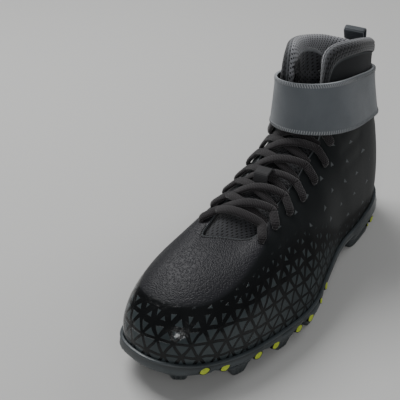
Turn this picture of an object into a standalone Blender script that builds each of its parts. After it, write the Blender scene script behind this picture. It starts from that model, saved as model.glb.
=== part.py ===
"""American football cleat, left shoe: moulded outsole with studs, hollow upper, padded collar
lining, tongue, insole, ankle strap, pull tab, lace keeper and oval laces.

+Z is up, the toe points to -Y and the outer side of the foot is +X. The stud tips lie on z = 0.
"""

import math
from collections import namedtuple

import bmesh
import bpy
import numpy as np
from mathutils import Vector

MM = 0.001

# Last and upper
SHOE_LENGTH = 296 * MM
BALL_WIDTH = 100 * MM
INSTEP_RISE = 84 * MM
COLLAR_RISE = 146.5 * MM
ANKLE_LEAN = 0.12
WALL = 2.0 * MM
CLEARANCE = 0.3 * MM

# Outsole
STUD_HEIGHT = 10.5 * MM
PLATE_THICKNESS = 4.0 * MM
TOE_SPRING = 8.0 * MM
ARCH_RISE = 3.5 * MM
RIM_HEIGHT = 8.0 * MM
RIM_THICKNESS = 2.2 * MM
RIM_ROUND = 0.9 * MM
SIDE_STEP = 0.7 * MM
SIDE_SWELL = 1.2 * MM
PLATE_CHAMFER = 1.8 * MM
UNDERSIDE_INSET = 10.0 * MM
STUD_LENGTH = 18.0 * MM
STUD_DEPTH = 14.0 * MM
STUD_TAPER = 0.56
STUD_CORNER = 0.62
STUD_FLUSH = 2.6 * MM
STUD_ROOT = 2.0 * MM
HEEL_STUD_LENGTH = 40.0 * MM
HEEL_STUD_TAPER = 0.86
CENTRE_STUD_WIDTH = 13.0 * MM
TOE_STUD_INSET = 6.5 * MM

# Padding and inside
INSOLE_THICKNESS = 4.0 * MM
CUFF_WIDTH = 12.0 * MM
CUFF_PROUD = 1.4 * MM
CUFF_LEAST_SHARE = 0.12
CUFF_GAP = 1.0 * MM
LINING_THICKNESS = 6.0 * MM
LINING_DEPTH = 34.0 * MM
TONGUE_THICKNESS = 5.0 * MM
TONGUE_REACH = 17.0 * MM
TONGUE_TUCK = 10.0 * MM
TONGUE_WING = 9.0 * MM
TONGUE_WING_LEAST = 2.0 * MM
TONGUE_DROP = 0.8 * MM
TONGUE_CROWN_SHARE = 0.17  # of its width

# Strap, tab, keeper and laces
STRAP_WIDTH = 41.0 * MM
STRAP_THICKNESS = 2.4 * MM
STRAP_FRONT_DROP = 39.5 * MM
STRAP_HEEL_DROP = 62.5 * MM
STRAP_NOSE_SHARE = 0.062
STRAP_SPLAY = 0.22
STRAP_SPLAY_MEDIAL = 0.12
STRAP_UPRIGHT = 0.97
STRAP_GAP = 0.6 * MM
TAB_WIDTH = 17.0 * MM
TAB_THICKNESS = 1.8 * MM
TAB_RISE = 9.5 * MM
TAB_DEPTH = 6.0 * MM
TAB_TAIL = 14.0 * MM
TAB_LIFT = 0.3 * MM
TAB_SHIFT = 2.5 * MM
LACE_WIDTH = 6.2 * MM
LACE_THICKNESS = 2.8 * MM
LACE_LIFT = 0.8 * MM
LACE_CROWN_SHARE = 0.17
LACE_REST = 0.75 * MM
LACE_EMERGE_SHARE = 0.09
LACE_SLANT_SHARE = 0.25  # of a row, gained beneath the eyestay
LACE_HUMP = 1.8 * MM
EYELET_DIAMETER = 5.0 * MM
EYELET_INSET = 12.5 * MM
EYELET_ROWS = 7
KEEPER_WIDTH = 12.0 * MM
KEEPER_THICKNESS = 1.3 * MM
KEEPER_STEEPNESS = 8.0

# How finely the round forms are divided
RIBS_PER_STATION = 3
SOLE_RIBS_PER_STATION = 5
UPPER_LEVELS = 11

# Four lines run round the last from toe to heel, with 13 stations on each side. Along is
# measured from the heel as a share of the length, lateral and medial are shares of half the
# ball width, and rise is a share of the named height over the plate's floor. Lead is how much
# further forward the medial point lies, as a share of the length.
Station = namedtuple("Station", "along lateral medial rise height lead", defaults=(0.0,))
FEATHER = (
    Station(1.003, -0.18, -0.18, 0.00, INSTEP_RISE),
    Station(0.970, 0.32, -0.72, 0.00, INSTEP_RISE),
    Station(0.880, 0.68, -0.93, 0.00, INSTEP_RISE),
    Station(0.755, 0.92, -0.99, 0.00, INSTEP_RISE),
    Station(0.620, 1.06, -0.84, 0.00, INSTEP_RISE),
    Station(0.490, 0.93, -0.67, 0.00, INSTEP_RISE),
    Station(0.365, 0.79, -0.62, 0.00, COLLAR_RISE),
    Station(0.262, 0.75, -0.66, 0.00, COLLAR_RISE),
    Station(0.180, 0.74, -0.69, 0.00, COLLAR_RISE),
    Station(0.110, 0.70, -0.67, 0.00, COLLAR_RISE),
    Station(0.050, 0.56, -0.55, 0.00, COLLAR_RISE),
    Station(0.008, 0.31, -0.30, 0.00, COLLAR_RISE),
    Station(-0.006, 0.00, 0.00, 0.00, COLLAR_RISE),
)
BELLY = (
    Station(1.018, -0.18, -0.18, 0.42, INSTEP_RISE),
    Station(0.986, 0.38, -0.80, 0.42, INSTEP_RISE),
    Station(0.886, 0.80, -1.08, 0.42, INSTEP_RISE),
    Station(0.757, 1.04, -1.10, 0.42, INSTEP_RISE),
    Station(0.623, 1.14, -0.98, 0.44, INSTEP_RISE),
    Station(0.492, 1.03, -0.86, 0.48, INSTEP_RISE),
    Station(0.372, 0.90, -0.82, 0.31, COLLAR_RISE),
    Station(0.275, 0.90, -0.81, 0.33, COLLAR_RISE),
    Station(0.197, 0.88, -0.82, 0.36, COLLAR_RISE),
    Station(0.122, 0.85, -0.83, 0.37, COLLAR_RISE),
    Station(0.044, 0.68, -0.66, 0.36, COLLAR_RISE),
    Station(-0.008, 0.38, -0.37, 0.34, COLLAR_RISE),
    Station(-0.028, 0.00, 0.00, 0.33, COLLAR_RISE),
)
SHOULDER = (
    Station(0.876, -0.13, -0.13, 0.60, INSTEP_RISE),
    Station(0.856, 0.25, -0.56, 0.61, INSTEP_RISE),
    Station(0.795, 0.56, -0.74, 0.66, INSTEP_RISE),
    Station(0.698, 0.68, -0.70, 0.74, INSTEP_RISE),
    Station(0.575, 0.68, -0.64, 0.80, INSTEP_RISE),
    Station(0.470, 0.66, -0.62, 0.88, INSTEP_RISE),
    Station(0.375, 0.62, -0.57, 0.54, COLLAR_RISE),
    Station(0.350, 0.60, -0.54, 0.68, COLLAR_RISE),
    Station(0.310, 0.59, -0.52, 0.77, COLLAR_RISE),
    Station(0.185, 0.57, -0.53, 0.76, COLLAR_RISE),
    Station(0.122, 0.45, -0.44, 0.75, COLLAR_RISE),
    Station(0.091, 0.25, -0.25, 0.68, COLLAR_RISE),
    Station(0.085, 0.00, 0.00, 0.64, COLLAR_RISE),
)
TOPLINE = (
    Station(0.721, -0.07, -0.07, 0.640, INSTEP_RISE),
    Station(0.703, 0.19, -0.33, 0.662, INSTEP_RISE, 0.035),
    Station(0.680, 0.34, -0.38, 0.745, INSTEP_RISE, 0.010),
    Station(0.622, 0.36, -0.36, 0.86, INSTEP_RISE),
    Station(0.540, 0.36, -0.36, 0.93, INSTEP_RISE),
    Station(0.458, 0.36, -0.36, 1.00, INSTEP_RISE),
    Station(0.382, 0.37, -0.37, 0.64, COLLAR_RISE),
    Station(0.362, 0.38, -0.38, 0.837, COLLAR_RISE),
    Station(0.335, 0.40, -0.40, 1.024, COLLAR_RISE),
    Station(0.238, 0.54, -0.53, 1.03, COLLAR_RISE),
    Station(0.128, 0.48, -0.47, 0.96, COLLAR_RISE),
    Station(0.068, 0.28, -0.28, 0.90, COLLAR_RISE),
    Station(0.046, 0.00, 0.00, 0.87, COLLAR_RISE),
)
# Height of the outsole's rim over the floor at the same stations, as shares of RIM_HEIGHT
RIM_SHARES = (0.80, 0.75, 0.66, 0.60, 0.55, 0.48, 0.45, 0.60, 0.95, 1.25, 1.45, 1.55, 1.60)

HEEL_STATION = len(FEATHER) - 1
STATIONS = 2 * HEEL_STATION

# Studs on the edge, by their station round the outline and how far in they stand. The side keeps
# standing out for hold stations on either side of a stud's middle.
EdgeStud = namedtuple(
    "EdgeStud", "station inset length taper hold", defaults=(STUD_LENGTH, STUD_TAPER, 0.0)
)
EDGE_STUDS = (
    EdgeStud(0.75, TOE_STUD_INSET),
    EdgeStud(2.17, 0.0),
    EdgeStud(3.22, 0.0),
    EdgeStud(4.10, 0.0),
    EdgeStud(7.88, 0.0, HEEL_STUD_LENGTH, HEEL_STUD_TAPER, 0.5),
    EdgeStud(9.90, 0.0),
    EdgeStud(14.10, 0.0),
    EdgeStud(16.12, 0.0, HEEL_STUD_LENGTH, HEEL_STUD_TAPER, 0.5),
    EdgeStud(19.90, 0.0),
    EdgeStud(20.78, 0.0),
    EdgeStud(21.83, 0.0),
    EdgeStud(23.10, TOE_STUD_INSET),
)
CentreStud = namedtuple("CentreStud", "along across")
CENTRE_STUDS = (CentreStud(0.84, -0.20), CentreStud(0.735, 0.0), CentreStud(0.63, 0.06))
STUD_REACH_STATIONS = 0.42  # in stations, how far the side swells on either side of a stud

# Stations of the throat and collar
EYELET_FIRST_STATION = 2.45
EYELET_LAST_STATION = 6.35
TONGUE_FIRST_STATION = 1.9
TONGUE_LAST_STATION = 7.8
TONGUE_STEP_STATIONS = 0.35
TONGUE_ROWS = 17
TONGUE_TOP = ((0.35, 0.97), (0.70, 0.88), (0.92, 0.74), (1.0, 0.58))
CUFF_FIRST_RIB = 20
CUFF_START_STATION = 6.2
CUFF_FULL_STATION = 7.4
STRAP_SIDE_STATION = 8.6
KEEPER_START_STATION = 3.74
KEEPER_END_STATION = 4.47

# Colours are linear
Finish = namedtuple("Finish", "red green blue roughness")
FINISHES = {
    "outsole_rubber": Finish(0.045, 0.055, 0.058, 0.42),
    "upper_synthetic": Finish(0.018, 0.020, 0.022, 0.30),
    "lining_mesh": Finish(0.16, 0.17, 0.18, 0.85),
    "tongue_mesh": Finish(0.012, 0.012, 0.013, 0.80),
    "insole_foam": Finish(0.03, 0.03, 0.03, 0.80),
    "strap_webbing": Finish(0.075, 0.085, 0.093, 0.60),
    "tab_webbing": Finish(0.06, 0.07, 0.075, 0.70),
    "lace_cord": Finish(0.022, 0.020, 0.020, 0.75),
}


def smooth_step(value):
    """0 below 0, 1 above 1 and a smooth ramp between."""
    value = min(max(value, 0.0), 1.0)
    return value * value * (3.0 - 2.0 * value)


def plate_rise(along):
    """Toe spring and arch of the plate, over its level stretches at heel and ball."""
    toe = TOE_SPRING * max(0.0, (along - 0.74) / 0.26) ** 2
    arch = ARCH_RISE * smooth_step((along - 0.22) / 0.12) * smooth_step((0.56 - along) / 0.12)
    return toe + arch


def plate_bottom(along):
    return STUD_HEIGHT + plate_rise(along)


def plate_floor(along):
    return plate_bottom(along) + PLATE_THICKNESS


def along_of(point):
    return 0.5 - point[1] / SHOE_LENGTH


def line_points(table):
    """The 24 points of one line: down the lateral side from toe to heel and back along the medial side."""
    def point(row, across, along):
        height = row.rise * row.height
        if row.height == COLLAR_RISE:
            height += ANKLE_LEAN * row.rise * across * BALL_WIDTH / 2
        return (across * BALL_WIDTH / 2, (0.5 - along) * SHOE_LENGTH, height)

    lateral = [point(row, row.lateral, row.along) for row in table]
    medial = [point(row, row.medial, row.along + row.lead) for row in table[-2:0:-1]]
    return np.array(lateral + medial)


LINES = [line_points(table) for table in (FEATHER, BELLY, SHOULDER, TOPLINE)]
RIM_LINE = np.array(RIM_SHARES + RIM_SHARES[-2:0:-1]) * RIM_HEIGHT


def spline(values, station):
    """Smooth closed curve through the values, one for each station."""
    first = math.floor(station)
    share = station - first
    before, start, end, after = (values[(first + step) % STATIONS] for step in (-1, 0, 1, 2))
    return 0.5 * (
        2 * start
        + (end - before) * share
        + (2 * before - 5 * start + 4 * end - after) * share**2
        + (3 * start - before - 3 * end + after) * share**3
    )


def skin(station, level):
    """A point on the upper's outer surface: level 0 is the feather line and 1 the topline."""
    feather, belly, shoulder, top = (spline(line, station) for line in LINES)
    rest = 1.0 - level
    foot = np.array((0.0, 0.0, plate_floor(along_of(feather)) + CLEARANCE))
    return foot + (
        rest**3 * feather
        + 3 * rest**2 * level * belly
        + 3 * rest * level**2 * shoulder
        + level**3 * top
    )


def skin_normal(station, level):
    """Outward unit normal of the upper's outer surface."""
    step = 0.01
    low = max(level - step, 0.0)
    high = min(level + step, 1.0)
    round_way = skin(station + step, level) - skin(station - step, level)
    up_way = skin(station, high) - skin(station, low)
    normal = np.cross(round_way, up_way)
    return normal / np.linalg.norm(normal)


def layer(station, level, offset):
    """A point at a distance from the upper's outer surface, outward when positive."""
    return skin(station, level) + offset * skin_normal(station, level)


def level_at(station, height):
    """The level where a rib reaches a height."""
    low, high = 0.0, 1.0
    for _ in range(24):
        middle = (low + high) / 2
        if skin(station, middle)[2] < height:
            low = middle
        else:
            high = middle
    return (low + high) / 2


def outline(station, offset):
    """The feather line in plan, moved outward."""
    here = spline(LINES[0], station)
    ahead = spline(LINES[0], station + 0.02) - spline(LINES[0], station - 0.02)
    outward = np.array((ahead[1], -ahead[0], 0.0))
    return here + offset * outward / np.linalg.norm(outward)


def stations(start, end, count):
    return [start + (end - start) * index / (count - 1) for index in range(count)]


def new_mesh(name, points, faces):
    mesh = bpy.data.meshes.new(name)
    mesh.from_pydata([tuple(point) for point in points], [], faces)
    mesh.validate()
    return mesh


def add_object(name, mesh, finish, collection):
    """Makes a smooth-shaded object with its own material."""
    piece = bpy.data.objects.new(name, mesh)
    collection.objects.link(piece)
    settings = FINISHES[finish]
    material = bpy.data.materials.new(name + "_" + finish)
    material.use_nodes = True
    shader = material.node_tree.nodes["Principled BSDF"]
    shader.inputs["Base Color"].default_value = (settings.red, settings.green, settings.blue, 1.0)
    shader.inputs["Roughness"].default_value = settings.roughness
    shader.inputs["Metallic"].default_value = 0.0
    mesh.materials.append(material)
    mesh.shade_smooth()
    mesh.set_sharp_from_angle(angle=math.radians(40))
    return piece


def face_outward(mesh):
    work = bmesh.new()
    work.from_mesh(mesh)
    bmesh.ops.recalc_face_normals(work, faces=work.faces)
    work.to_mesh(mesh)
    work.free()


def grid(name, rows, closed=False):
    """A sheet through rows of points. A closed one joins its last row to its first."""
    wide = len(rows[0])
    points = [point for row in rows for point in row]
    last = len(rows) if closed else len(rows) - 1
    faces = []
    for row in range(last):
        for column in range(wide - 1):
            near = row * wide + column
            far = ((row + 1) % len(rows)) * wide + column
            faces.append((near, far, far + 1, near + 1))
    return new_mesh(name, points, faces)


def thicken(piece, thickness, side):
    """Gives a sheet its thickness. Side -1 grows it inward, 1 outward and 0 both ways."""
    shell = piece.modifiers.new("Wall", "SOLIDIFY")
    shell.thickness = thickness
    shell.offset = side
    shell.use_even_offset = True
    shell.use_quality_normals = True
    return shell


def loft(name, sections, closed=False):
    """A solid through closed sections of as many points each. An open one gets flat ends."""
    wide = len(sections[0])
    points = [point for section in sections for point in section]
    last = len(sections) if closed else len(sections) - 1
    faces = []
    for row in range(last):
        for column in range(wide):
            near = row * wide
            far = ((row + 1) % len(sections)) * wide
            after = (column + 1) % wide
            faces.append((near + column, far + column, far + after, near + after))
    if not closed:
        faces.append(tuple(range(wide)))
        faces.append(tuple(range(len(points) - 1, len(points) - 1 - wide, -1)))
    mesh = new_mesh(name, points, faces)
    face_outward(mesh)
    return mesh


def join(piece, others, operation="UNION"):
    """Joins or cuts a piece with others, which are removed afterwards."""
    for other in others:
        modifier = piece.modifiers.new(other.name, "BOOLEAN")
        modifier.operation = operation
        modifier.solver = "EXACT"
        modifier.object = other
        bpy.context.view_layer.update()
        graph = bpy.context.evaluated_depsgraph_get()
        joined = bpy.data.meshes.new_from_object(piece.evaluated_get(graph))
        piece.modifiers.clear()
        piece.data = joined
        bpy.data.objects.remove(other, do_unlink=True)


def ladder(ring, count, flip):
    """Faces across a ring that starts at the toe, from its lateral to its medial points."""
    faces = []
    for index in range(count // 2):
        left, next_left = ring[index], ring[index + 1]
        right, next_right = ring[-index % count], ring[-(index + 1) % count]
        corners = [left, next_left, next_right, right]
        corners = list(dict.fromkeys(corners))
        faces.append(tuple(reversed(corners)) if flip else tuple(corners))
    return faces


def plate_mesh(name, rings):
    """A solid through rings stacked from the underside to the top, closed by ladders."""
    count = len(rings[0])
    points = [point for ring in rings for point in ring]
    faces = []
    for row in range(len(rings) - 1):
        for column in range(count):
            after = (column + 1) % count
            near = row * count
            far = near + count
            faces.append((near + column, near + after, far + after, far + column))
    faces += ladder(list(range(count)), count, False)
    top = (len(rings) - 1) * count
    faces += ladder(list(range(top, top + count)), count, True)
    mesh = new_mesh(name, points, faces)
    face_outward(mesh)
    return mesh


def side_swell(station):
    """How far the outsole's side stands out beside the nearest stud."""
    half = STATIONS / 2
    nearest = min(abs((station - stud.station + half) % STATIONS - half) - stud.hold for stud in EDGE_STUDS)
    return SIDE_SWELL * smooth_step(1.0 - nearest / STUD_REACH_STATIONS)


def at_height(point, height):
    return np.array((point[0], point[1], height))


def unit(vector):
    return vector / np.linalg.norm(vector)


def outsole_rings():
    """The outsole's rings from the underside's middle, over its side and rim, to the floor."""
    count = STATIONS * SOLE_RIBS_PER_STATION
    rings = [[] for _ in range(10)]
    for index in range(count):
        station = index / SOLE_RIBS_PER_STATION
        along = along_of(outline(station, 0.0))
        bottom = plate_bottom(along)
        floor = plate_floor(along)
        rim = spline(RIM_LINE, station)
        top_level = level_at(station, floor + CLEARANCE + rim)
        swell = side_swell(station)
        underside = outline(station, -UNDERSIDE_INSET)
        rim_top = layer(station, top_level, CLEARANCE)
        rim_outer = layer(station, top_level, CLEARANCE + RIM_THICKNESS)
        rim_edge = layer(station, top_level, CLEARANCE + RIM_THICKNESS - RIM_ROUND)
        profile = (
            at_height(underside, plate_bottom(along_of(underside))),
            at_height(outline(station, swell), bottom),
            at_height(outline(station, RIM_THICKNESS + swell), bottom + PLATE_CHAMFER),
            at_height(outline(station, RIM_THICKNESS + SIDE_STEP + swell), floor),
            at_height(rim_outer, floor + rim - RIM_ROUND),
            at_height(rim_edge, floor + rim),
            at_height(rim_top, floor + rim),
            layer(station, top_level / 2, CLEARANCE),
            at_height(layer(station, 0.0, CLEARANCE), floor),
            at_height(underside, plate_floor(along_of(underside))),
        )
        for ring, point in zip(rings, profile):
            ring.append(point)
    return rings


def stud(name, foot, direction, length, depth, taper, parts):
    """A tapered eight-sided stud. Its root reaches into the plate and its tip is flat."""
    outward = np.array((direction[1], -direction[0], 0.0))
    corners = [(way * 1.0, side * STUD_CORNER) for way, side in ((1, 1), (-1, 1), (-1, -1), (1, -1))]
    octagon = []
    for index, (way, side) in enumerate(corners):
        blunt = (way * STUD_CORNER, side / STUD_CORNER)
        octagon += [(way, side), blunt] if index % 2 == 0 else [blunt, (way, side)]
    sections = []
    for rise, scale in ((0.0, taper), (STUD_HEIGHT + STUD_ROOT, 1.0)):
        sections.append([
            foot
            + direction * (way * length / 2 * scale)
            + outward * (side * depth / 2 * scale)
            + np.array((0.0, 0.0, rise))
            for way, side in octagon
        ])
    return add_object(name, loft(name, sections), "outsole_rubber", parts)


def make_outsole(parts):
    """The moulded plate with its rim, stepped side and studs in one solid."""
    outsole = add_object("outsole", plate_mesh("outsole", outsole_rings()), "outsole_rubber", parts)
    studs = []
    for index, place in enumerate(EDGE_STUDS):
        middle = outline(place.station, -place.inset - STUD_DEPTH / 2 + STUD_FLUSH)
        ahead = outline(place.station + 0.05, 0.0) - outline(place.station - 0.05, 0.0)
        direction = unit(np.array((ahead[0], ahead[1], 0.0)))
        foot = at_height(middle, plate_rise(along_of(middle)))
        name = f"edge_stud_{index + 1}"
        studs.append(stud(name, foot, direction, place.length, STUD_DEPTH, place.taper, parts))
    for index, place in enumerate(CENTRE_STUDS):
        middle = (place.across * BALL_WIDTH / 2, (0.5 - place.along) * SHOE_LENGTH)
        foot = at_height(middle, plate_rise(place.along))
        direction = np.array((0.0, 1.0, 0.0))
        name = f"centre_stud_{index + 1}"
        width = CENTRE_STUD_WIDTH
        studs.append(stud(name, foot, direction, width, width, STUD_TAPER, parts))
    join(outsole, studs)
    return outsole


def eyelet_station(row, side):
    """The station of an eyelet row, counted from 0 at the front. Side 1 is lateral, -1 medial."""
    station = EYELET_FIRST_STATION + (EYELET_LAST_STATION - EYELET_FIRST_STATION) * row / (EYELET_ROWS - 1)
    return station if side > 0 else STATIONS - station


def inset_level(station, distance):
    """The level at a distance down the rib from the topline."""
    slope = np.linalg.norm(skin(station, 1.0) - skin(station, 0.9)) / 0.1
    return 1.0 - distance / slope


def make_upper(parts, cutters):
    """One hollow shell with ribs from the feather line up to the throat and collar, and lace holes."""
    rows = []
    for index in range(STATIONS * RIBS_PER_STATION):
        station = index / RIBS_PER_STATION
        rows.append([skin(station, level / UPPER_LEVELS) for level in range(UPPER_LEVELS + 1)])
    upper = add_object("upper", grid("upper", rows, closed=True), "upper_synthetic", parts)
    thicken(upper, WALL, -1)
    punches = []
    for row in range(EYELET_ROWS):
        for side in (1, -1):
            station = eyelet_station(row, side)
            level = inset_level(station, EYELET_INSET)
            normal = Vector(skin_normal(station, level))
            bpy.ops.mesh.primitive_cylinder_add(vertices=8, radius=EYELET_DIAMETER / 2, depth=4 * WALL)
            punch = bpy.context.object
            punch.name = f"eyelet_punch_{row + 1}_{'lateral' if side > 0 else 'medial'}"
            punch.location = Vector(layer(station, level, -WALL / 2))
            punch.rotation_mode = "QUATERNION"
            punch.rotation_quaternion = normal.to_track_quat("Z", "Y")
            punch.display_type = "WIRE"
            punch.hide_render = True
            for owner in list(punch.users_collection):
                owner.objects.unlink(punch)
            cutters.objects.link(punch)
            punches.append(punch)
    join(upper, punches, "DIFFERENCE")
    return upper


def make_insole(parts):
    """The sock liner on the outsole's floor, inside the upper."""
    count = STATIONS * RIBS_PER_STATION
    low, high = [], []
    for index in range(count):
        station = index / RIBS_PER_STATION
        edge = outline(station, -WALL - 2 * CLEARANCE)
        floor = plate_floor(along_of(edge)) + CLEARANCE
        low.append(at_height(edge, floor))
        high.append(at_height(edge, floor + INSOLE_THICKNESS))
    return add_object("insole", plate_mesh("insole", [low, high]), "insole_foam", parts)


def cuff_share(station):
    """0 along the throat and 1 round the collar, with a ramp where the cuff begins."""
    from_toe = min(station % STATIONS, STATIONS - station % STATIONS)
    return smooth_step((from_toe - CUFF_START_STATION) / (CUFF_FULL_STATION - CUFF_START_STATION))


def edge_direction(station):
    """The way the upper's wall points at the topline, along its rib."""
    return unit(skin(station, 1.0) - skin(station, 0.95))


def cuff_section(station):
    """Section of the padded lining: up the inside of the wall, over its edge and down again."""
    share = max(cuff_share(station), CUFF_LEAST_SHARE)
    width = CUFF_WIDTH * share
    pad = LINING_THICKNESS * share
    normal = skin_normal(station, 1.0)
    along_rib = edge_direction(station)
    edge = skin(station, 1.0)
    deep = inset_level(station, LINING_DEPTH * share)
    middle = (1.0 + deep) / 2
    outer = -WALL - CUFF_GAP

    def beyond(reach, offset):
        return edge + along_rib * reach + normal * offset

    return [
        layer(station, deep, outer),
        layer(station, middle, outer),
        beyond(CUFF_GAP, outer),
        beyond(CUFF_GAP, CUFF_PROUD * 0.4),
        beyond(CUFF_GAP + 0.25 * width, CUFF_PROUD),
        beyond(CUFF_GAP + 0.70 * width, CUFF_PROUD * 0.5),
        beyond(width, outer * 0.7),
        beyond(width, outer - pad * 0.35),
        beyond(0.65 * width, outer - pad * 0.85),
        beyond(0.0, outer - pad),
        layer(station, middle, outer - pad),
        layer(station, deep, outer - pad * 0.5),
    ]


def make_collar_lining(parts):
    """The padded collar, from the front edge of the lateral flap round the heel to the medial one."""
    last_rib = STATIONS * RIBS_PER_STATION - CUFF_FIRST_RIB
    ribs = range(CUFF_FIRST_RIB, last_rib + 1)
    sections = [cuff_section(rib / RIBS_PER_STATION) for rib in ribs]
    return add_object("collar_lining", loft("collar_lining", sections), "lining_mesh", parts)


def bridge(lateral, medial, share, offset, crown=None):
    """A point of the crowned surface across the throat, between two stations of the topline."""
    left = layer(lateral, 1.0, offset)
    right = layer(medial, 1.0, offset)
    outward = unit(skin_normal(lateral, 1.0) + skin_normal(medial, 1.0))
    rise = (TONGUE_CROWN_SHARE if crown is None else crown) * np.linalg.norm(right - left)
    return left + (right - left) * share + outward * rise * 4 * share * (1 - share)


def tongue_offset(station):
    """Depth of the tongue's face under the upper's outer surface, clear of the wall and lining."""
    share = max(cuff_share(station - 0.3), cuff_share(station + 0.3), cuff_share(station))
    return -(WALL + 2 * CLEARANCE + (LINING_THICKNESS + CLEARANCE) * share + TONGUE_DROP)


def wing_depth(station):
    """How far the tongue's wing reaches under the eyestay, less beside the padded collar."""
    return TONGUE_WING * (1.0 - cuff_share(station)) + TONGUE_WING_LEAST


def make_tongue(parts):
    """The padded sheet under the throat. Its wings reach under the eyestays and its top is round."""
    rows = []
    wings = (1.0, 0.5, 0.0, 0.0, 0.0, 0.0, 0.0, 0.0, 0.0, 0.5, 1.0)
    across = stations(TONGUE_FIRST_STATION, -TONGUE_FIRST_STATION, len(wings))
    for tuck in (TONGUE_TUCK, 0.0):
        row = []
        for station, wing in zip(across, wings):
            around = station % STATIONS
            level = inset_level(around, tuck + wing * wing_depth(TONGUE_FIRST_STATION))
            row.append(layer(around, level, tongue_offset(TONGUE_FIRST_STATION)))
        rows.append(row)
    for station in stations(TONGUE_FIRST_STATION + TONGUE_STEP_STATIONS, TONGUE_LAST_STATION, TONGUE_ROWS):
        medial = STATIONS - station
        offset = tongue_offset(station)
        wing = inset_level(station, wing_depth(station))
        row = [layer(station, wing, offset), layer(station, (1 + wing) / 2, offset)]
        row += [bridge(station, medial, share, offset) for share in stations(0.0, 1.0, 7)]
        row += [layer(medial, (1 + wing) / 2, offset), layer(medial, wing, offset)]
        rows.append(row)
    last, before = np.array(rows[-1]), np.array(rows[-3])
    upward = unit((last - before).mean(axis=0))
    centre = last.mean(axis=0)
    for reach, width in TONGUE_TOP:
        lifted = centre + (last - centre) * width
        rows.append(list(lifted + upward * TONGUE_REACH * reach))
    tongue = add_object("tongue", grid("tongue", rows), "tongue_mesh", parts)
    thicken(tongue, TONGUE_THICKNESS, -1)
    return tongue


def strap_low(point):
    """Height of the strap's lower edge over the ground, falling from the front to the heel."""
    share = min(max((point[1] / SHOE_LENGTH - 0.08) / 0.38, 0.0), 1.0)
    drop = STRAP_FRONT_DROP + (STRAP_HEEL_DROP - STRAP_FRONT_DROP) * share
    return plate_floor(0.2) + COLLAR_RISE - drop + ANKLE_LEAN * point[0]


def shaft_point(station, rise_share, offset):
    """A point beside the ankle, at a share of the strap's width above its lower edge."""
    point = skin(station, 0.8)
    level = 0.8
    for _ in range(4):
        level = level_at(station, strap_low(point) + rise_share * STRAP_WIDTH * STRAP_UPRIGHT)
        point = skin(station, level)
    return point + offset * unit(skin_normal(station, level) * np.array((1.0, 1.0, 0.0)))


def strap_lead(point, before):
    """From where the strap leaves the ankle to the curve's handle, splayed out and forward to the bow."""
    splay = STRAP_SPLAY if point[0] > 0 else -STRAP_SPLAY_MEDIAL
    way = unit(point - before) + np.array((splay, 0.0, 0.0))
    handle = (4 * STRAP_NOSE_SHARE * SHOE_LENGTH - point[1]) / 3
    return way * (handle - point[1]) / way[1]


def strap_path(rise_share, offset):
    """Closed path of the strap at one height: round the heel along the upper, then bowed in front."""
    first = STRAP_SIDE_STATION
    side = [shaft_point(s, rise_share, offset) for s in stations(first, STATIONS - first, 24)]
    start, end = side[-1], side[0]
    leave = strap_lead(start, side[-3])
    arrive = strap_lead(end, side[2])
    bow = []
    for share in stations(0.0, 1.0, 18)[1:-1]:
        rest = 1 - share
        bow.append(
            rest**3 * start
            + 3 * rest**2 * share * (start + leave)
            + 3 * rest * share**2 * (end + arrive)
            + share**3 * end
        )
    return side + bow


def make_ankle_strap(parts):
    """The band round the ankle. It lies on the sides and heel and bows out over the tongue."""
    inner = [strap_path(share, STRAP_GAP) for share in (0.0, 0.33, 0.67, 1.0)]
    outer = [strap_path(share, STRAP_GAP + STRAP_THICKNESS) for share in (0.0, 0.33, 0.67, 1.0)]
    sections = []
    for index in range(len(inner[0])):
        sections.append([path[index] for path in inner] + [path[index] for path in reversed(outer)])
    mesh = loft("ankle_strap", sections, closed=True)
    return add_object("ankle_strap", mesh, "strap_webbing", parts)


def make_pull_tab(parts):
    """The folded ribbon behind the heel, a little to the medial side: up from the collar's top and
    down the back."""
    station = HEEL_STATION
    edge = skin(station, 1.0)
    up = edge_direction(station) * CUFF_WIDTH
    top = edge + up + np.array((0.0, 0.0, CLEARANCE + TAB_THICKNESS / 2 + TAB_LIFT))
    back_gap = CUFF_PROUD + CLEARANCE + TAB_THICKNESS / 2 + TAB_LIFT
    tail = layer(station, inset_level(station, TAB_TAIL - CUFF_WIDTH), back_gap)
    behind = edge + skin_normal(station, 1.0) * back_gap
    half = TAB_DEPTH / 2
    path = [top + np.array((0.0, -half * 0.4, 0.0))]
    over_cuff = edge + up + skin_normal(station, 1.0) * back_gap
    crest = np.array((0.0, over_cuff[1] - half, top[2] + TAB_RISE - half))
    for turn in range(9):
        angle = math.pi * turn / 8
        path.append(crest + np.array((0.0, -half * math.cos(angle), half * math.sin(angle))))
    path += [over_cuff, behind, tail]
    rows = []
    for point in path:
        left, right = (point[0] - TAB_SHIFT + side * TAB_WIDTH / 2 for side in (-1, 1))
        rows.append([(left, point[1], point[2]), (right, point[1], point[2])])
    tab = add_object("pull_tab", grid("pull_tab", rows), "tab_webbing", parts)
    thicken(tab, TAB_THICKNESS, 0)
    return tab


def ribbon(name, path, normals, width, thickness):
    """A flat cord along a path, with a six-sided section."""
    outline_shares = ((1.0, 0.0), (0.6, 1.0), (-0.6, 1.0), (-1.0, 0.0), (-0.6, -1.0), (0.6, -1.0))
    sections = []
    for index, point in enumerate(path):
        ahead = path[min(index + 1, len(path) - 1)] - path[max(index - 1, 0)]
        side = unit(np.cross(ahead, normals[index]))
        lift = unit(np.cross(side, ahead))
        sections.append([
            point + side * across * width / 2 + lift * over * thickness / 2
            for across, over in outline_shares
        ])
    return loft(name, sections)


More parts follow.
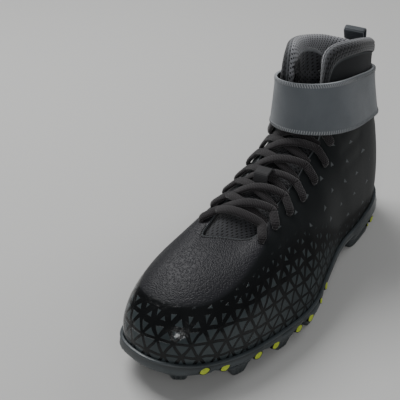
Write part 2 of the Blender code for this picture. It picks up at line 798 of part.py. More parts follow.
def over_eyestay(station, shares):
    """Path points and normals of a lace lying on the eyestay, at shares of the way from its eyelet."""
    levels = [inset_level(station, EYELET_INSET * (1 - share)) for share in shares]
    height = LACE_THICKNESS / 2 + LACE_LIFT
    path = [layer(station, level, height) for level in levels]
    return path, [skin_normal(station, level) for level in levels]


def across_throat(lateral, medial, heights, shares):
    """Path points and normals of a lace over the tongue, at heights over the upper's surface."""
    outward = unit(skin_normal(lateral, 1.0) + skin_normal(medial, 1.0))
    path = [bridge(lateral, medial, share, high, LACE_CROWN_SHARE) for share, high in zip(shares, heights)]
    return path, [outward] * len(path)


def make_lace_bar(parts):
    """The lace's first run, straight across from eyelet to eyelet."""
    lateral, medial = eyelet_station(0, 1), eyelet_station(0, -1)
    height = LACE_THICKNESS / 2 + LACE_LIFT
    shares = stations(0.0, 1.0, 9)
    start = over_eyestay(lateral, stations(0.0, 0.75, 4))
    middle = across_throat(lateral, medial, [height] * len(shares), shares)
    end = over_eyestay(medial, stations(0.75, 0.0, 4))
    path, normals = (sum(lists, []) for lists in zip(start, middle, end))
    mesh = ribbon("lace_bar", path, normals, LACE_WIDTH, LACE_THICKNESS)
    return add_object("lace_bar", mesh, "lace_cord", parts)


def lace_arm(name, row, side, lift, parts):
    """One run of a crossing: out from under an eyestay, over the tongue and the far eyestay's edge,
    to the next row's eyelet on the side named."""
    low = -WALL - 2 * CLEARANCE - TONGUE_DROP + LACE_THICKNESS / 2 + LACE_REST
    high = LACE_THICKNESS / 2 + LACE_LIFT
    far, near = eyelet_station(row + 1, side), eyelet_station(row + LACE_SLANT_SHARE, -side)
    lateral, medial = (far, near) if side > 0 else (near, far)
    shares = stations(LACE_EMERGE_SHARE, 1.0, 8)
    heights = [low + (high - low) * smooth_step(share) + lift * 4 * share * (1 - share) for share in shares]
    if side > 0:
        shares = [1 - share for share in shares]
    middle = across_throat(lateral, medial, heights, shares)
    end = over_eyestay(far, stations(0.67, 0.0, 3))
    path, normals = (sum(lists, []) for lists in zip(middle, end))
    mesh = ribbon(name, path, normals, LACE_WIDTH, LACE_THICKNESS)
    return add_object(name, mesh, "lace_cord", parts)


def make_laces(parts):
    """A bar across the first row, then a crossing between each row and the next."""
    make_lace_bar(parts)
    for row in range(EYELET_ROWS - 1):
        under = lace_arm(f"lace_crossing_{row + 1}", row, -1, 0.0, parts)
        over = lace_arm(f"lace_crossing_{row + 1}_over", row, 1, LACE_HUMP, parts)
        join(under, [over])


def make_lace_keeper(parts):
    """The webbing loop on the tongue that holds the lace crossing in the middle."""
    path = []
    for share in stations(0.0, 1.0, 22):
        station = KEEPER_START_STATION + (KEEPER_END_STATION - KEEPER_START_STATION) * share
        on_tongue = bridge(station, STATIONS - station, 0.5, tongue_offset(station))
        on_lace = bridge(station, STATIONS - station, 0.5, LACE_LIFT + LACE_THICKNESS, LACE_CROWN_SHARE)
        outward = unit(skin_normal(station, 1.0) + skin_normal(STATIONS - station, 1.0))
        low = on_tongue + outward * (CLEARANCE + KEEPER_THICKNESS / 2)
        high = on_lace + outward * (KEEPER_THICKNESS + LACE_HUMP + 2 * CLEARANCE)
        path.append(low + (high - low) * smooth_step(KEEPER_STEEPNESS * min(share, 1 - share)))
    rows = [[point + np.array((side * KEEPER_WIDTH / 2, 0.0, 0.0)) for side in (-1, 1)] for point in path]
    keeper = add_object("lace_keeper", grid("lace_keeper", rows), "tab_webbing", parts)
    thicken(keeper, KEEPER_THICKNESS, 0)
    return keeper


def clear_scene():
    for piece in list(bpy.data.objects):
        bpy.data.objects.remove(piece, do_unlink=True)


def centre_over_origin(parts):
    """Moves the pieces together, so that the box round them all is centred over the origin."""
    bpy.context.view_layer.update()
    graph = bpy.context.evaluated_depsgraph_get()
    corners = []
    for piece in parts.objects:
        corners += [piece.matrix_world @ Vector(corner) for corner in piece.evaluated_get(graph).bound_box]
    middle = (np.min(corners, axis=0) + np.max(corners, axis=0)) / 2
    for piece in parts.objects:
        piece.location -= Vector((middle[0], middle[1], 0.0))


def main():
    clear_scene()
    parts = bpy.data.collections.new("football_cleat")
    cutters = bpy.data.collections.new("cutters")
    bpy.context.scene.collection.children.link(parts)
    bpy.context.scene.collection.children.link(cutters)
    make_outsole(parts)
    make_upper(parts, cutters)
    make_insole(parts)
    make_collar_lining(parts)
    make_tongue(parts)
    make_ankle_strap(parts)
    make_pull_tab(parts)
    make_laces(parts)
    make_lace_keeper(parts)
    centre_over_origin(parts)


main()
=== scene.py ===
"""American football cleat, left shoe: finishes, padding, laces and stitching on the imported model.

+Z is up, the toe points to -Y and the outer side of the foot is +X, in metres.
"""

import logging
import math
from collections.abc import Callable, Mapping, Sequence
from dataclasses import dataclass, field
from enum import Enum
from typing import NamedTuple

import bmesh
import bpy
import numpy as np
from mathutils import Matrix, Vector


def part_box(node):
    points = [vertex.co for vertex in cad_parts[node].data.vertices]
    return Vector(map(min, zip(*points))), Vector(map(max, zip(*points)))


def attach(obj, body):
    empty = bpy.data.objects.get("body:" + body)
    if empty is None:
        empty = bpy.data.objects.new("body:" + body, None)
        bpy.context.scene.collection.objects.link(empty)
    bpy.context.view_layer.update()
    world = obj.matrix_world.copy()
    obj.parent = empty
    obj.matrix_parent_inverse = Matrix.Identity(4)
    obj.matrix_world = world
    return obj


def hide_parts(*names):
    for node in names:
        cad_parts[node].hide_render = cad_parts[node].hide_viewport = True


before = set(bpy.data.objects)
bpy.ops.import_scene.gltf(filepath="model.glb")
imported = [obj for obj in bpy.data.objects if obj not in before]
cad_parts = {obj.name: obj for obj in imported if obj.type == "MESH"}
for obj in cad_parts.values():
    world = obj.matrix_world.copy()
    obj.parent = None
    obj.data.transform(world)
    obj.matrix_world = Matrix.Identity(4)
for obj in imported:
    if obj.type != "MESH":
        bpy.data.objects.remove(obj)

log = logging.getLogger("football_cleat")
Array = np.ndarray
Piece = bpy.types.Object
Material = bpy.types.Material
Pair = tuple[Array, Array]
Colour = tuple[float, float, float]
MM = 0.001
UV_LAYER = "surface"
STATIONS = 24  # places round the last, from the toe down the lateral side and back
HEEL = 12  # the station behind the heel
TALL = 6  # from this station back, heights are shares of the collar's rise
HALVINGS = 22  # steps of the search for a level
SHARP_ANGLE = 55  # degrees past which an edge is shaded sharp
STITCH_SIDES = 8


class Row(NamedTuple):
    """Where one line round the last crosses a station.

    along is a share of the length from the heel, lateral and medial are shares of half the ball
    width, and rise is a share of the instep's height, or of the collar's from TALL on. lead is how
    much further forward the medial point lies, as a share of the length.
    """

    along: float
    lateral: float
    medial: float
    rise: float
    lead: float = 0.0


FEATHER = (
    Row(1.003, -0.18, -0.18, 0.0), Row(0.970, 0.32, -0.72, 0.0), Row(0.880, 0.68, -0.93, 0.0),
    Row(0.755, 0.92, -0.99, 0.0), Row(0.620, 1.06, -0.84, 0.0), Row(0.490, 0.93, -0.67, 0.0),
    Row(0.365, 0.79, -0.62, 0.0), Row(0.262, 0.75, -0.66, 0.0), Row(0.180, 0.74, -0.69, 0.0),
    Row(0.110, 0.70, -0.67, 0.0), Row(0.050, 0.56, -0.55, 0.0), Row(0.008, 0.31, -0.30, 0.0),
    Row(-0.006, 0.0, 0.0, 0.0),
)
BELLY = (
    Row(1.018, -0.18, -0.18, 0.42), Row(0.986, 0.38, -0.80, 0.42), Row(0.886, 0.80, -1.08, 0.42),
    Row(0.757, 1.04, -1.10, 0.42), Row(0.623, 1.14, -0.98, 0.44), Row(0.492, 1.03, -0.86, 0.48),
    Row(0.372, 0.90, -0.82, 0.31), Row(0.275, 0.90, -0.81, 0.33), Row(0.197, 0.88, -0.82, 0.36),
    Row(0.122, 0.85, -0.83, 0.37), Row(0.044, 0.68, -0.66, 0.36), Row(-0.008, 0.38, -0.37, 0.34),
    Row(-0.028, 0.0, 0.0, 0.33),
)
SHOULDER = (
    Row(0.876, -0.13, -0.13, 0.60), Row(0.856, 0.25, -0.56, 0.61), Row(0.795, 0.56, -0.74, 0.66),
    Row(0.698, 0.68, -0.70, 0.74), Row(0.575, 0.68, -0.64, 0.80), Row(0.470, 0.66, -0.62, 0.88),
    Row(0.375, 0.62, -0.57, 0.54), Row(0.350, 0.60, -0.54, 0.68), Row(0.310, 0.59, -0.52, 0.77),
    Row(0.185, 0.57, -0.53, 0.76), Row(0.122, 0.45, -0.44, 0.75), Row(0.091, 0.25, -0.25, 0.68),
    Row(0.085, 0.0, 0.0, 0.64),
)
TOPLINE = (
    Row(0.721, -0.07, -0.07, 0.640), Row(0.703, 0.19, -0.33, 0.662, 0.035),
    Row(0.680, 0.34, -0.38, 0.745, 0.010), Row(0.622, 0.36, -0.36, 0.86),
    Row(0.540, 0.36, -0.36, 0.93), Row(0.458, 0.36, -0.36, 1.00),
    Row(0.382, 0.37, -0.37, 0.64), Row(0.362, 0.38, -0.38, 0.837), Row(0.335, 0.40, -0.40, 1.024),
    Row(0.238, 0.54, -0.53, 1.03), Row(0.128, 0.48, -0.47, 0.96), Row(0.068, 0.28, -0.28, 0.90),
    Row(0.046, 0.0, 0.0, 0.87),
)
RIM_SHARES = (0.80, 0.75, 0.66, 0.60, 0.55, 0.48, 0.45, 0.60, 0.95, 1.25, 1.45, 1.55, 1.60)


def smooth_step(value: Array) -> Array:
    """0 below 0, 1 above 1 and a smooth ramp between."""
    held = np.clip(value, 0.0, 1.0)
    return held * held * (3.0 - 2.0 * held)


def unit(vectors: Array) -> Array:
    """Vectors along the last axis, made one long."""
    return vectors / np.maximum(np.linalg.norm(vectors, axis=-1, keepdims=True), 1e-12)


def lengths_along(points: Array) -> Array:
    """Distance travelled along a path of points, one value for each."""
    steps = np.linalg.norm(np.diff(points, axis=0), axis=-1)
    return np.concatenate([np.zeros((1,) + steps.shape[1:]), np.cumsum(steps, axis=0)])


def lengths_across(points: Array) -> Array:
    """Distance travelled along each row of a grid of points."""
    return lengths_along(points.swapaxes(0, 1)).swapaxes(0, 1)


def ramp(value: Array, start: float, width: float) -> Array:
    """0 below start, 1 above start + width and a smooth ramp between."""
    return smooth_step((value - start) / width)


def rounded(angles: Array, power: float) -> Pair:
    """Cosine and sine of angles, their sizes raised to a power that squares or pinches the circle."""
    cosine, sine = np.cos(angles), np.sin(angles)
    return np.sign(cosine) * np.abs(cosine) ** power, np.sign(sine) * np.abs(sine) ** power


def from_toe(station: Array) -> Array:
    """How many stations a place lies from the toe, on either side."""
    turned = np.asarray(station, float) % STATIONS
    return np.minimum(turned, STATIONS - turned)


def station_gap(station: Array, place: float) -> Array:
    """How many stations lie between two places, the short way round."""
    half = STATIONS / 2
    return np.abs((station - place + half) % STATIONS - half)


def spline_between(points: Sequence[Array], share: Array) -> Array:
    """A smooth curve between the middle two of four points.

    Args:
        points: the point before, the start, the end and the point after.
        share: how far from start to end, from 0 to 1.

    Returns:
        The points on the curve.
    """
    before, start, end, after = points
    return 0.5 * (
        2 * start
        + (end - before) * share
        + (2 * before - 5 * start + 4 * end - after) * share**2
        + (3 * start - before - 3 * end + after) * share**3
    )


def bow_between(points: Sequence[Array], share: Array) -> Array:
    """A curve that leaves and arrives towards two handles.

    Args:
        points: the start, its handle, the end's handle and the end.
        share: how far from start to end, from 0 to 1.

    Returns:
        The points on the curve.
    """
    start, leave, arrive, end = points
    rest = 1.0 - share
    ends = rest**3 * start + 3 * rest**2 * share * leave
    return ends + 3 * rest * share**2 * arrive + share**3 * end


def resample(points: Array, count: int, closed: bool = False) -> Array:
    """A smooth curve through points.

    Args:
        points: the points, along the first axis.
        count: how many points the curve gets.
        closed: whether the curve returns to its first point.

    Returns:
        count points, evenly spaced between the given ones.
    """
    known = len(points)
    span = known if closed else known - 1
    places = np.linspace(0.0, span, count, endpoint=not closed)
    first = np.minimum(np.floor(places).astype(int), known - 1 if closed else known - 2)
    share = (places - first).reshape((-1,) + (1,) * (points.ndim - 1))

    def at(step: int) -> Array:
        """The given points so many places on."""
        index = first + step
        return points[index % known] if closed else points[np.clip(index, 0, known - 1)]

    return spline_between([at(step) for step in (-1, 0, 1, 2)], share)


def relax(points: Array, passes: int, weight: Array, closed: bool = False) -> Array:
    """Eases the bends of a path.

    Args:
        points: the path.
        passes: how often each point moves towards its neighbours' middle.
        weight: how freely each point moves, from 0 to 1.
        closed: whether the path returns to its first point.

    Returns:
        The eased path.
    """
    eased = points.copy()
    for _ in range(passes):
        middle = (np.roll(eased, 1, axis=0) + np.roll(eased, -1, axis=0)) / 2
        if not closed:
            middle[0], middle[-1] = eased[0], eased[-1]
        eased = eased + (0.5 * weight)[:, None] * (middle - eased)
    return eased


@dataclass
class Last:
    """The form that the upper, padding and laces are built on. Stations run round it from the toe."""

    length: float = 0.296
    ball_width: float = 0.100
    instep_rise: float = 0.084
    collar_rise: float = 0.1465
    lean: float = 0.12
    wall: float = 2.0 * MM
    clearance: float = 0.3 * MM
    stud_height: float = 10.5 * MM
    plate: float = 4.0 * MM
    toe_spring: float = 8.0 * MM
    toe_start: float = 0.74
    arch_rise: float = 3.5 * MM
    arch_start: float = 0.22
    arch_end: float = 0.56
    arch_ramp: float = 0.12
    rim_height: float = 8.0 * MM
    shift: Array = field(default_factory=lambda: np.zeros(3))

    def __post_init__(self) -> None:
        """Works out the four lines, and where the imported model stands."""
        self.lines = [self._line(table) for table in (FEATHER, BELLY, SHOULDER, TOPLINE)]
        rim = np.array(RIM_SHARES + RIM_SHARES[-2:0:-1]) * self.rim_height
        self.rim_line = rim[:, None]
        ring = self.outline(np.arange(0, STATIONS, 1 / 3), -self.wall - 2 * self.clearance)
        low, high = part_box("insole")
        middle = (ring.min(axis=0) + ring.max(axis=0)) / 2
        centre = (np.array(low) + np.array(high)) / 2
        self.shift = np.array([centre[0] - middle[0], centre[1] - middle[1], 0.0])

    def _line(self, table: Sequence[Row]) -> Array:
        """One line round the last.

        Args:
            table: its rows from the toe to the heel.

        Returns:
            Its 24 points, down the lateral side and back along the medial side.
        """
        points = []
        rows = list(enumerate(table))
        for side, part in ((1, rows), (-1, rows[-2:0:-1])):
            for station, row in part:
                across = (row.lateral if side > 0 else row.medial) * self.ball_width / 2
                tall = station >= TALL
                height = row.rise * (self.collar_rise if tall else self.instep_rise)
                if tall:
                    height += self.lean * row.rise * across
                along = row.along + (row.lead if side < 0 else 0.0)
                points.append((across, (0.5 - along) * self.length, height))
        return np.array(points)

    def spline(self, values: Array, station: Array) -> Array:
        """A smooth closed curve.

        Args:
            values: its 24 rows of values.
            station: the stations asked for.

        Returns:
            The values there.
        """
        first = np.floor(station).astype(int)
        share = (station - first)[:, None]
        return spline_between([values[(first + k) % STATIONS] for k in (-1, 0, 1, 2)], share)

    def plate_rise(self, along: Array) -> Array:
        """Toe spring and arch of the plate.

        Args:
            along: shares of the length from the heel.

        Returns:
            How far the plate rises there.
        """
        toe = self.toe_spring * np.maximum(0.0, (along - self.toe_start) / (1 - self.toe_start)) ** 2
        back = smooth_step((along - self.arch_start) / self.arch_ramp)
        return toe + self.arch_rise * (back * smooth_step((self.arch_end - along) / self.arch_ramp))

    def bottom(self, along: Array) -> Array:
        """Height of the plate's underside."""
        return self.stud_height + self.plate_rise(along)

    def floor(self, along: Array) -> Array:
        """Height of the plate's upper face."""
        return self.bottom(along) + self.plate

    def along_of(self, points: Array) -> Array:
        """Share of the length from the heel, of points in the row frame."""
        return 0.5 - (points[..., 1] - self.shift[1]) / self.length

    def rim(self, station: Array) -> Array:
        """Height of the outsole's rim over the plate's floor."""
        flat = np.atleast_1d(np.asarray(station, float))
        return self.spline(self.rim_line, flat.ravel())[:, 0].reshape(flat.shape)

    def skin(self, station: Array, level: Array) -> Array:
        """The upper's outer surface.

        Args:
            station: place round the last.
            level: 0 at the feather line and 1 at the topline.

        Returns:
            The points, one for each pair of values.
        """
        station, level = np.broadcast_arrays(np.asarray(station, float), np.asarray(level, float))
        shape = station.shape
        flat = station.ravel()
        lines = [self.spline(line, flat) for line in self.lines]
        points = bow_between(lines, level.reshape(-1, 1))
        points[:, 2] += self.floor(0.5 - lines[0][:, 1] / self.length) + self.clearance
        return (points + self.shift).reshape(shape + (3,))

    def normal(self, station: Array, level: Array) -> Array:
        """Outward unit normals of the upper's outer surface.

        Args:
            station: place round the last.
            level: 0 at the feather line and 1 at the topline.

        Returns:
            The normals, one for each pair of values.
        """
        step = 0.01
        level = np.asarray(level, float)
        low = np.maximum(level - step, 0.0)
        high = np.minimum(level + step, 1.0)
        station = np.asarray(station, float)
        round_way = self.skin(station + step, level) - self.skin(station - step, level)
        up_way = self.skin(station, high) - self.skin(station, low)
        return unit(np.cross(round_way, up_way))

    def layer(self, station: Array, level: Array, offset: Array) -> Array:
        """Points at a distance from the upper's outer surface, outward when positive."""
        reach = np.asarray(offset, float)[..., None]
        return self.skin(station, level) + reach * self.normal(station, level)

    def inset_level(self, station: Array, distance: Array) -> Array:
        """The level at a distance down the rib from the topline."""
        slope = np.linalg.norm(self.skin(station, 1.0) - self.skin(station, 0.9), axis=-1) / 0.1
        return 1.0 - distance / slope

    def level_at(self, station: Array, height: Array) -> Array:
        """The level where each rib reaches a height.

        Args:
            station: place of each rib.
            height: height over the ground.

        Returns:
            The levels.
        """
        low = np.zeros(np.shape(station))
        high = np.ones(np.shape(station))
        for _ in range(HALVINGS):
            middle = (low + high) / 2
            under = self.skin(station, middle)[..., 2] < height
            low = np.where(under, middle, low)
            high = np.where(under, high, middle)
        return (low + high) / 2

    def outline(self, station: Array, offset: Array) -> Array:
        """The feather line in plan.

        Args:
            station: place round the last.
            offset: how far the line moves outward.

        Returns:
            The points, one for each station.
        """
        flat = np.atleast_1d(np.asarray(station, float))
        line = self.lines[0]
        here = self.spline(line, flat)
        ahead = self.spline(line, flat + 0.02) - self.spline(line, flat - 0.02)
        outward = unit(np.stack([ahead[:, 1], -ahead[:, 0], np.zeros(len(flat))], axis=-1))
        return here + np.broadcast_to(offset, flat.shape)[:, None] * outward + self.shift

    def outward(self, station: float) -> Pair:
        """Two directions in plan.

        Args:
            station: place round the last.

        Returns:
            The way along the outline there, and the way out of it.
        """
        ahead = (self.outline(station + 0.05, 0.0) - self.outline(station - 0.05, 0.0))[0]
        forward = unit(np.array([ahead[0], ahead[1], 0.0]))
        return forward, np.array([forward[1], -forward[0], 0.0])

    def edge_direction(self, station: Array) -> Array:
        """The way the wall points at the topline."""
        return unit(self.skin(station, 1.0) - self.skin(station, 0.95))

    def bridge(self, station: Array, other: Array, share: Array, offset: Array, crown: float) -> Array:
        """Points of a crowned surface across the throat.

        Args:
            station: station of the topline on the lateral side.
            other: station of the topline on the medial side.
            share: how far across the throat, from 0 to 1.
            offset: distance from the upper's outer surface.
            crown: height of the crown, as a share of the throat's width.

        Returns:
            The points, one for each set of values.
        """
        left, right = self.layer(station, 1.0, offset), self.layer(other, 1.0, offset)
        up = unit(self.normal(station, 1.0) + self.normal(other, 1.0))
        width = np.linalg.norm(right - left, axis=-1, keepdims=True)
        share = np.asarray(share, float)[..., None]
        return left + (right - left) * share + up * crown * width * 4 * share * (1 - share)


@dataclass
class Patch:
    """A grid of quads with its surface coordinates and marks."""

    points: Array
    quads: Array
    uvs: Array
    marks: Mapping[str, Array]
    caps: list[tuple[int, ...]] = field(default_factory=list)


def lattice(
    points: Array, u: Array, v: Array, wrap_rows: bool = False, wrap_columns: bool = False,
    marks: Mapping[str, Array] | None = None, capped: bool = False,
) -> Patch:
    """Joins a grid of points into quads.

    Args:
        points: rows by columns of points.
        u: surface coordinate of each row, and one more where the rows wrap.
        v: surface coordinate of each column or point, and one more where the columns wrap.
        wrap_rows: whether the last row joins the first.
        wrap_columns: whether the last column joins the first.
        marks: values of each point, by name.
        capped: whether a face closes the first and last rows.

    Returns:
        The patch.
    """
    rows, columns = points.shape[:2]
    row_steps = rows if wrap_rows else rows - 1
    column_steps = columns if wrap_columns else columns - 1
    across, down = np.meshgrid(np.arange(column_steps), np.arange(row_steps))
    offsets = ((0, 0), (1, 0), (1, 1), (0, 1))
    quads = np.stack(
        [((down + a) % rows) * columns + (across + b) % columns for a, b in offsets], axis=-1
    )
    full = (row_steps + 1, column_steps + 1)
    u = np.broadcast_to(u[:, None] if u.ndim == 1 else u, full)
    v = np.broadcast_to(v[None, :] if v.ndim == 1 else v, full)
    uvs = np.stack(
        [np.stack([u[down + a, across + b], v[down + a, across + b]], axis=-1) for a, b in offsets],
        axis=-2,
    )
    firsts = (0, (rows - 1) * columns) if capped else ()
    caps = [tuple(range(first, first + columns)) for first in firsts]
    flat = {name: np.asarray(value, float).reshape(-1) for name, value in (marks or {}).items()}
    return Patch(points.reshape(-1, 3), quads.reshape(-1, 4), uvs.reshape(-1, 4, 2), flat, caps)


def tube(
    path: Array, ups: Array, width: float | Array, thickness: float, sides: int, square: float
) -> Patch:
    """A cord or ribbon of oval section along a path, with rounded ends.

    Args:
        path: the points that it follows.
        ups: the way its flat side faces at each point.
        width: width of the section, or of the section at each point.
        thickness: thickness of the section.
        sides: how many points go round the section.
        square: 2 is an ellipse and more is squarer.

    Returns:
        The patch. Its u is the distance along and its v goes round from 0 to 1.
    """
    ahead = unit(np.gradient(path, axis=0))
    side = unit(np.cross(ahead, ups))
    lift = unit(np.cross(side, ahead))
    angles = np.linspace(0.0, 2 * np.pi, sides, endpoint=False)
    across, over = rounded(angles, 2 / square)
    half = np.broadcast_to(width, len(path)) / 2
    ring = side[:, None] * (across[None, :] * half[:, None])[..., None]
    ring = ring + lift[:, None] * (over * thickness / 2)[None, :, None]
    reach = thickness / 2
    rounding = ((0.35, 0.92), (0.75, 0.62), (1.0, 0.12))
    start = [path[0] - ahead[0] * reach * out + ring[0] * size for out, size in rounding[::-1]]
    end = [path[-1] + ahead[-1] * reach * out + ring[-1] * size for out, size in rounding]
    rows = np.concatenate([start, path[:, None] + ring, end])
    u = lengths_along(rows[:, 0])
    return lattice(rows, u, np.linspace(0.0, 1.0, sides + 1), wrap_columns=True, capped=True)


def stitch(path: Array, up: Array, width: float, thickness: float) -> Patch:
    """A short thread of oval section along a path whose upper side faces one way."""
    return tube(path, np.tile(up, (len(path), 1)), width, thickness, STITCH_SIDES, 2.0)


def slab(points: Array, thickness: Array, marks: Mapping[str, Array] | None = None) -> Patch:
    """A closed padded sheet under a grid of points.

    Args:
        points: rows by columns of points on its face.
        thickness: its thickness at each point.
        marks: values of each point of the face, which the back repeats.

    Returns:
        The patch.
    """
    normals = unit(np.cross(np.gradient(points, axis=0), np.gradient(points, axis=1)))
    back = points - normals * thickness[..., None]
    whole = np.concatenate([points, back[:, ::-1]], axis=1)
    u = lengths_along(points).mean(axis=1)
    v = lengths_across(points)
    v = np.concatenate([v, v[:, ::-1], v[:, :1]], axis=1)
    doubled = {
        name: np.concatenate([value, value[:, ::-1]], axis=1) for name, value in (marks or {}).items()
    }
    return lattice(whole, u, v, wrap_columns=True, marks=doubled, capped=True)


def link(name: str, data: bpy.types.ID) -> Piece:
    """A new object of some data, linked to the scene."""
    made = bpy.data.objects.new(name, data)
    bpy.context.scene.collection.objects.link(made)
    return made


def assemble(name: str, patches: Sequence[Patch], material: Material, slot: str, *nodes: str) -> Piece:
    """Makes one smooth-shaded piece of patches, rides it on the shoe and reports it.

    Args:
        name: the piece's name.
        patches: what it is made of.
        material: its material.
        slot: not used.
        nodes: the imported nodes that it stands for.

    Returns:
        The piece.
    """
    faces: list[tuple[int, ...]] = []
    uvs: list[Array] = []
    start = 0
    for patch in patches:
        faces += [tuple(face) for face in (patch.quads + start).tolist()]
        uvs.append(patch.uvs.reshape(-1, 2))
        for cap in patch.caps:
            faces.append(tuple(start + corner for corner in cap))
            uvs.append(np.zeros((len(cap), 2)))
        start += len(patch.points)
    mesh = bpy.data.meshes.new(name)
    mesh.from_pydata(np.concatenate([patch.points for patch in patches]).tolist(), [], faces)
    layer = mesh.uv_layers.new(name=UV_LAYER)
    layer.data.foreach_set("uv", np.concatenate(uvs).astype(np.float32).ravel())
    for mark in sorted({key for patch in patches for key in patch.marks}):
        values = [patch.marks.get(mark, np.zeros(len(patch.points))) for patch in patches]
        attribute = mesh.attributes.new(mark, "FLOAT", "POINT")
        attribute.data.foreach_set("value", np.concatenate(values).astype(np.float32))
    work = bmesh.new()
    work.from_mesh(mesh)
    bmesh.ops.recalc_face_normals(work, faces=work.faces)
    work.to_mesh(mesh)
    work.free()
    mesh.materials.append(material)
    mesh.shade_smooth()
    mesh.set_sharp_from_angle(angle=math.radians(SHARP_ANGLE))
    piece = link(name, mesh)
    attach(piece, "root")
    if nodes:
        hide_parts(*nodes)
    log.info("%s: %d faces", piece.name, len(piece.data.polygons))
    return piece


def operator(operation: str, swapped: bool = False) -> Callable[..., "Value"]:
    """A method of Value that adds a Math node.

    Args:
        operation: what the node works out.
        swapped: whether the value stands on the right.

    Returns:
        The method.
    """

    def apply(value: "Value", *others: "Value | float") -> "Value":
        """Adds the node, and returns its value."""
        values = (value, *others)
        return value.graph.math(operation, *(values[::-1] if swapped else values))

    return apply


class Value:
    """One socket of a shader graph. Arithmetic on it adds Math nodes."""

    __add__, __radd__ = operator("ADD"), operator("ADD", True)
    __sub__, __rsub__ = operator("SUBTRACT"), operator("SUBTRACT", True)
    __mul__, __rmul__ = operator("MULTIPLY"), operator("MULTIPLY", True)
    __truediv__, __abs__ = operator("DIVIDE"), operator("ABSOLUTE")
    floor, fraction, sine = operator("FLOOR"), operator("FRACT"), operator("SINE")
    least, most = operator("MINIMUM"), operator("MAXIMUM")

    def __init__(self, graph: "Graph", socket: bpy.types.NodeSocket) -> None:
        """Wraps a socket of a graph."""
        self.graph = graph
        self.socket = socket

    def step(self, low: "Value | float", high: "Value | float") -> "Value":
        """A smooth ramp from 0 at low to 1 at high."""
        return self.graph.node(
            "ShaderNodeMapRange",
            {"interpolation_type": "SMOOTHSTEP"},
            {"Value": self, "From Min": low, "From Max": high},
        )


class Graph:
    """A material under construction."""

    def __init__(self, name: str) -> None:
        """Starts a material with one Principled shader."""
        self.material = bpy.data.materials.new(name)
        self.material.use_nodes = True
        self.tree = self.material.node_tree
        self.shader = self.tree.nodes["Principled BSDF"]

    def node(
        self, kind: str, settings: Mapping[str, object] | None = None,
        inputs: Mapping[str | int, object] | None = None, output: int = 0,
    ) -> Value:
        """Adds a node.

        Args:
            kind: the node's type.
            settings: its properties, which are set first.
            inputs: values or links of its sockets, by name or number.
            output: which of its outputs is returned.

        Returns:
            The output.
        """
        made = self.tree.nodes.new(kind)
        for name, setting in (settings or {}).items():
            setattr(made, name, setting)
        for name, value in (inputs or {}).items():
            if isinstance(value, Value):
                self.tree.links.new(value.socket, made.inputs[name])
            else:
                made.inputs[name].default_value = value
        return Value(self, made.outputs[output])

    def math(self, operation: str, *values: "Value | float") -> Value:
        """A Math node on values."""
        return self.node("ShaderNodeMath", {"operation": operation}, dict(enumerate(values)))

    def mark(self, name: str) -> Value:
        """A value that the mesh carries at each point."""
        return self.node("ShaderNodeAttribute", {"attribute_name": name}, output=2)

    def place(self) -> Value:
        """Position on the object, in metres."""
        return self.node("ShaderNodeTexCoord", output=3)

    def parts(self, where: Value) -> tuple[Value, Value]:
        """The first two parts of a vector."""
        kind = "ShaderNodeSeparateXYZ"
        return self.node(kind, {}, {0: where}), self.node(kind, {}, {0: where}, output=1)

    def surface(self) -> tuple[Value, Value]:
        """The two surface coordinates, in metres."""
        return self.parts(self.node("ShaderNodeUVMap", {"uv_map": UV_LAYER}))

    def plan(self) -> tuple[Value, Value]:
        """The position in plan, in metres."""
        return self.parts(self.place())

    def vector(self, x: "Value | float", y: "Value | float", z: "Value | float" = 0.0) -> Value:
        """A vector of three values."""
        return self.node("ShaderNodeCombineXYZ", {}, {0: x, 1: y, 2: z})

    def noise(self, where: Value, scale: float, detail: float = 3.0) -> Value:
        """Soft noise about 0.5, with scale in cells a metre."""
        inputs = {"Vector": where, "Scale": scale, "Detail": detail}
        return self.node("ShaderNodeTexNoise", {}, inputs)

    def cells(self, where: Value, scale: float) -> Value:
        """Distance from the nearest of scattered points, with scale in cells a metre."""
        return self.node("ShaderNodeTexVoronoi", {}, {"Vector": where, "Scale": scale})

    def blend(self, share: Value, low: "Value | Colour", high: "Value | Colour") -> Value:
        """A colour between two.

        Args:
            share: 0 for the first and 1 for the second.
            low: the first.
            high: the second.

        Returns:
            The colour.
        """
        ends = [end if isinstance(end, Value) else (*end, 1.0) for end in (low, high)]
        inputs = {0: share, 6: ends[0], 7: ends[1]}
        return self.node("ShaderNodeMix", {"data_type": "RGBA"}, inputs, output=2)

    def bump(self, height: Value, distance: float, below: Value | None = None) -> Value:
        """A normal from a height.

        Args:
            height: the height, from 0 to 1.
            distance: what a height of 1 stands for, in metres.
            below: the normal that it bends further.

        Returns:
            The normal.
        """
        inputs: dict[str | int, object] = {"Height": height, "Distance": distance, "Strength": 1.0}
        if below is not None:
            inputs["Normal"] = below
        return self.node("ShaderNodeBump", {}, inputs)

    def finish(self, varying: Mapping[str, Value], constant: Mapping[str, object]) -> Material:
        """Sets the shader.

        Args:
            varying: links, by the shader's socket names.
            constant: values, by the shader's socket names.

        Returns:
            The finished material.
        """
        for name, value in varying.items():
            self.tree.links.new(value.socket, self.shader.inputs[name])
        for name, value in constant.items():
            self.shader.inputs[name].default_value = value
        return self.material


def linear(red: int, green: int, blue: int) -> Colour:
    """The linear colour of an sRGB one given as 0 to 255."""
    shares = [part / 255 for part in (red, green, blue)]
    return tuple(s / 12.92 if s <= 0.04045 else ((s + 0.055) / 1.055) ** 2.4 for s in shares)


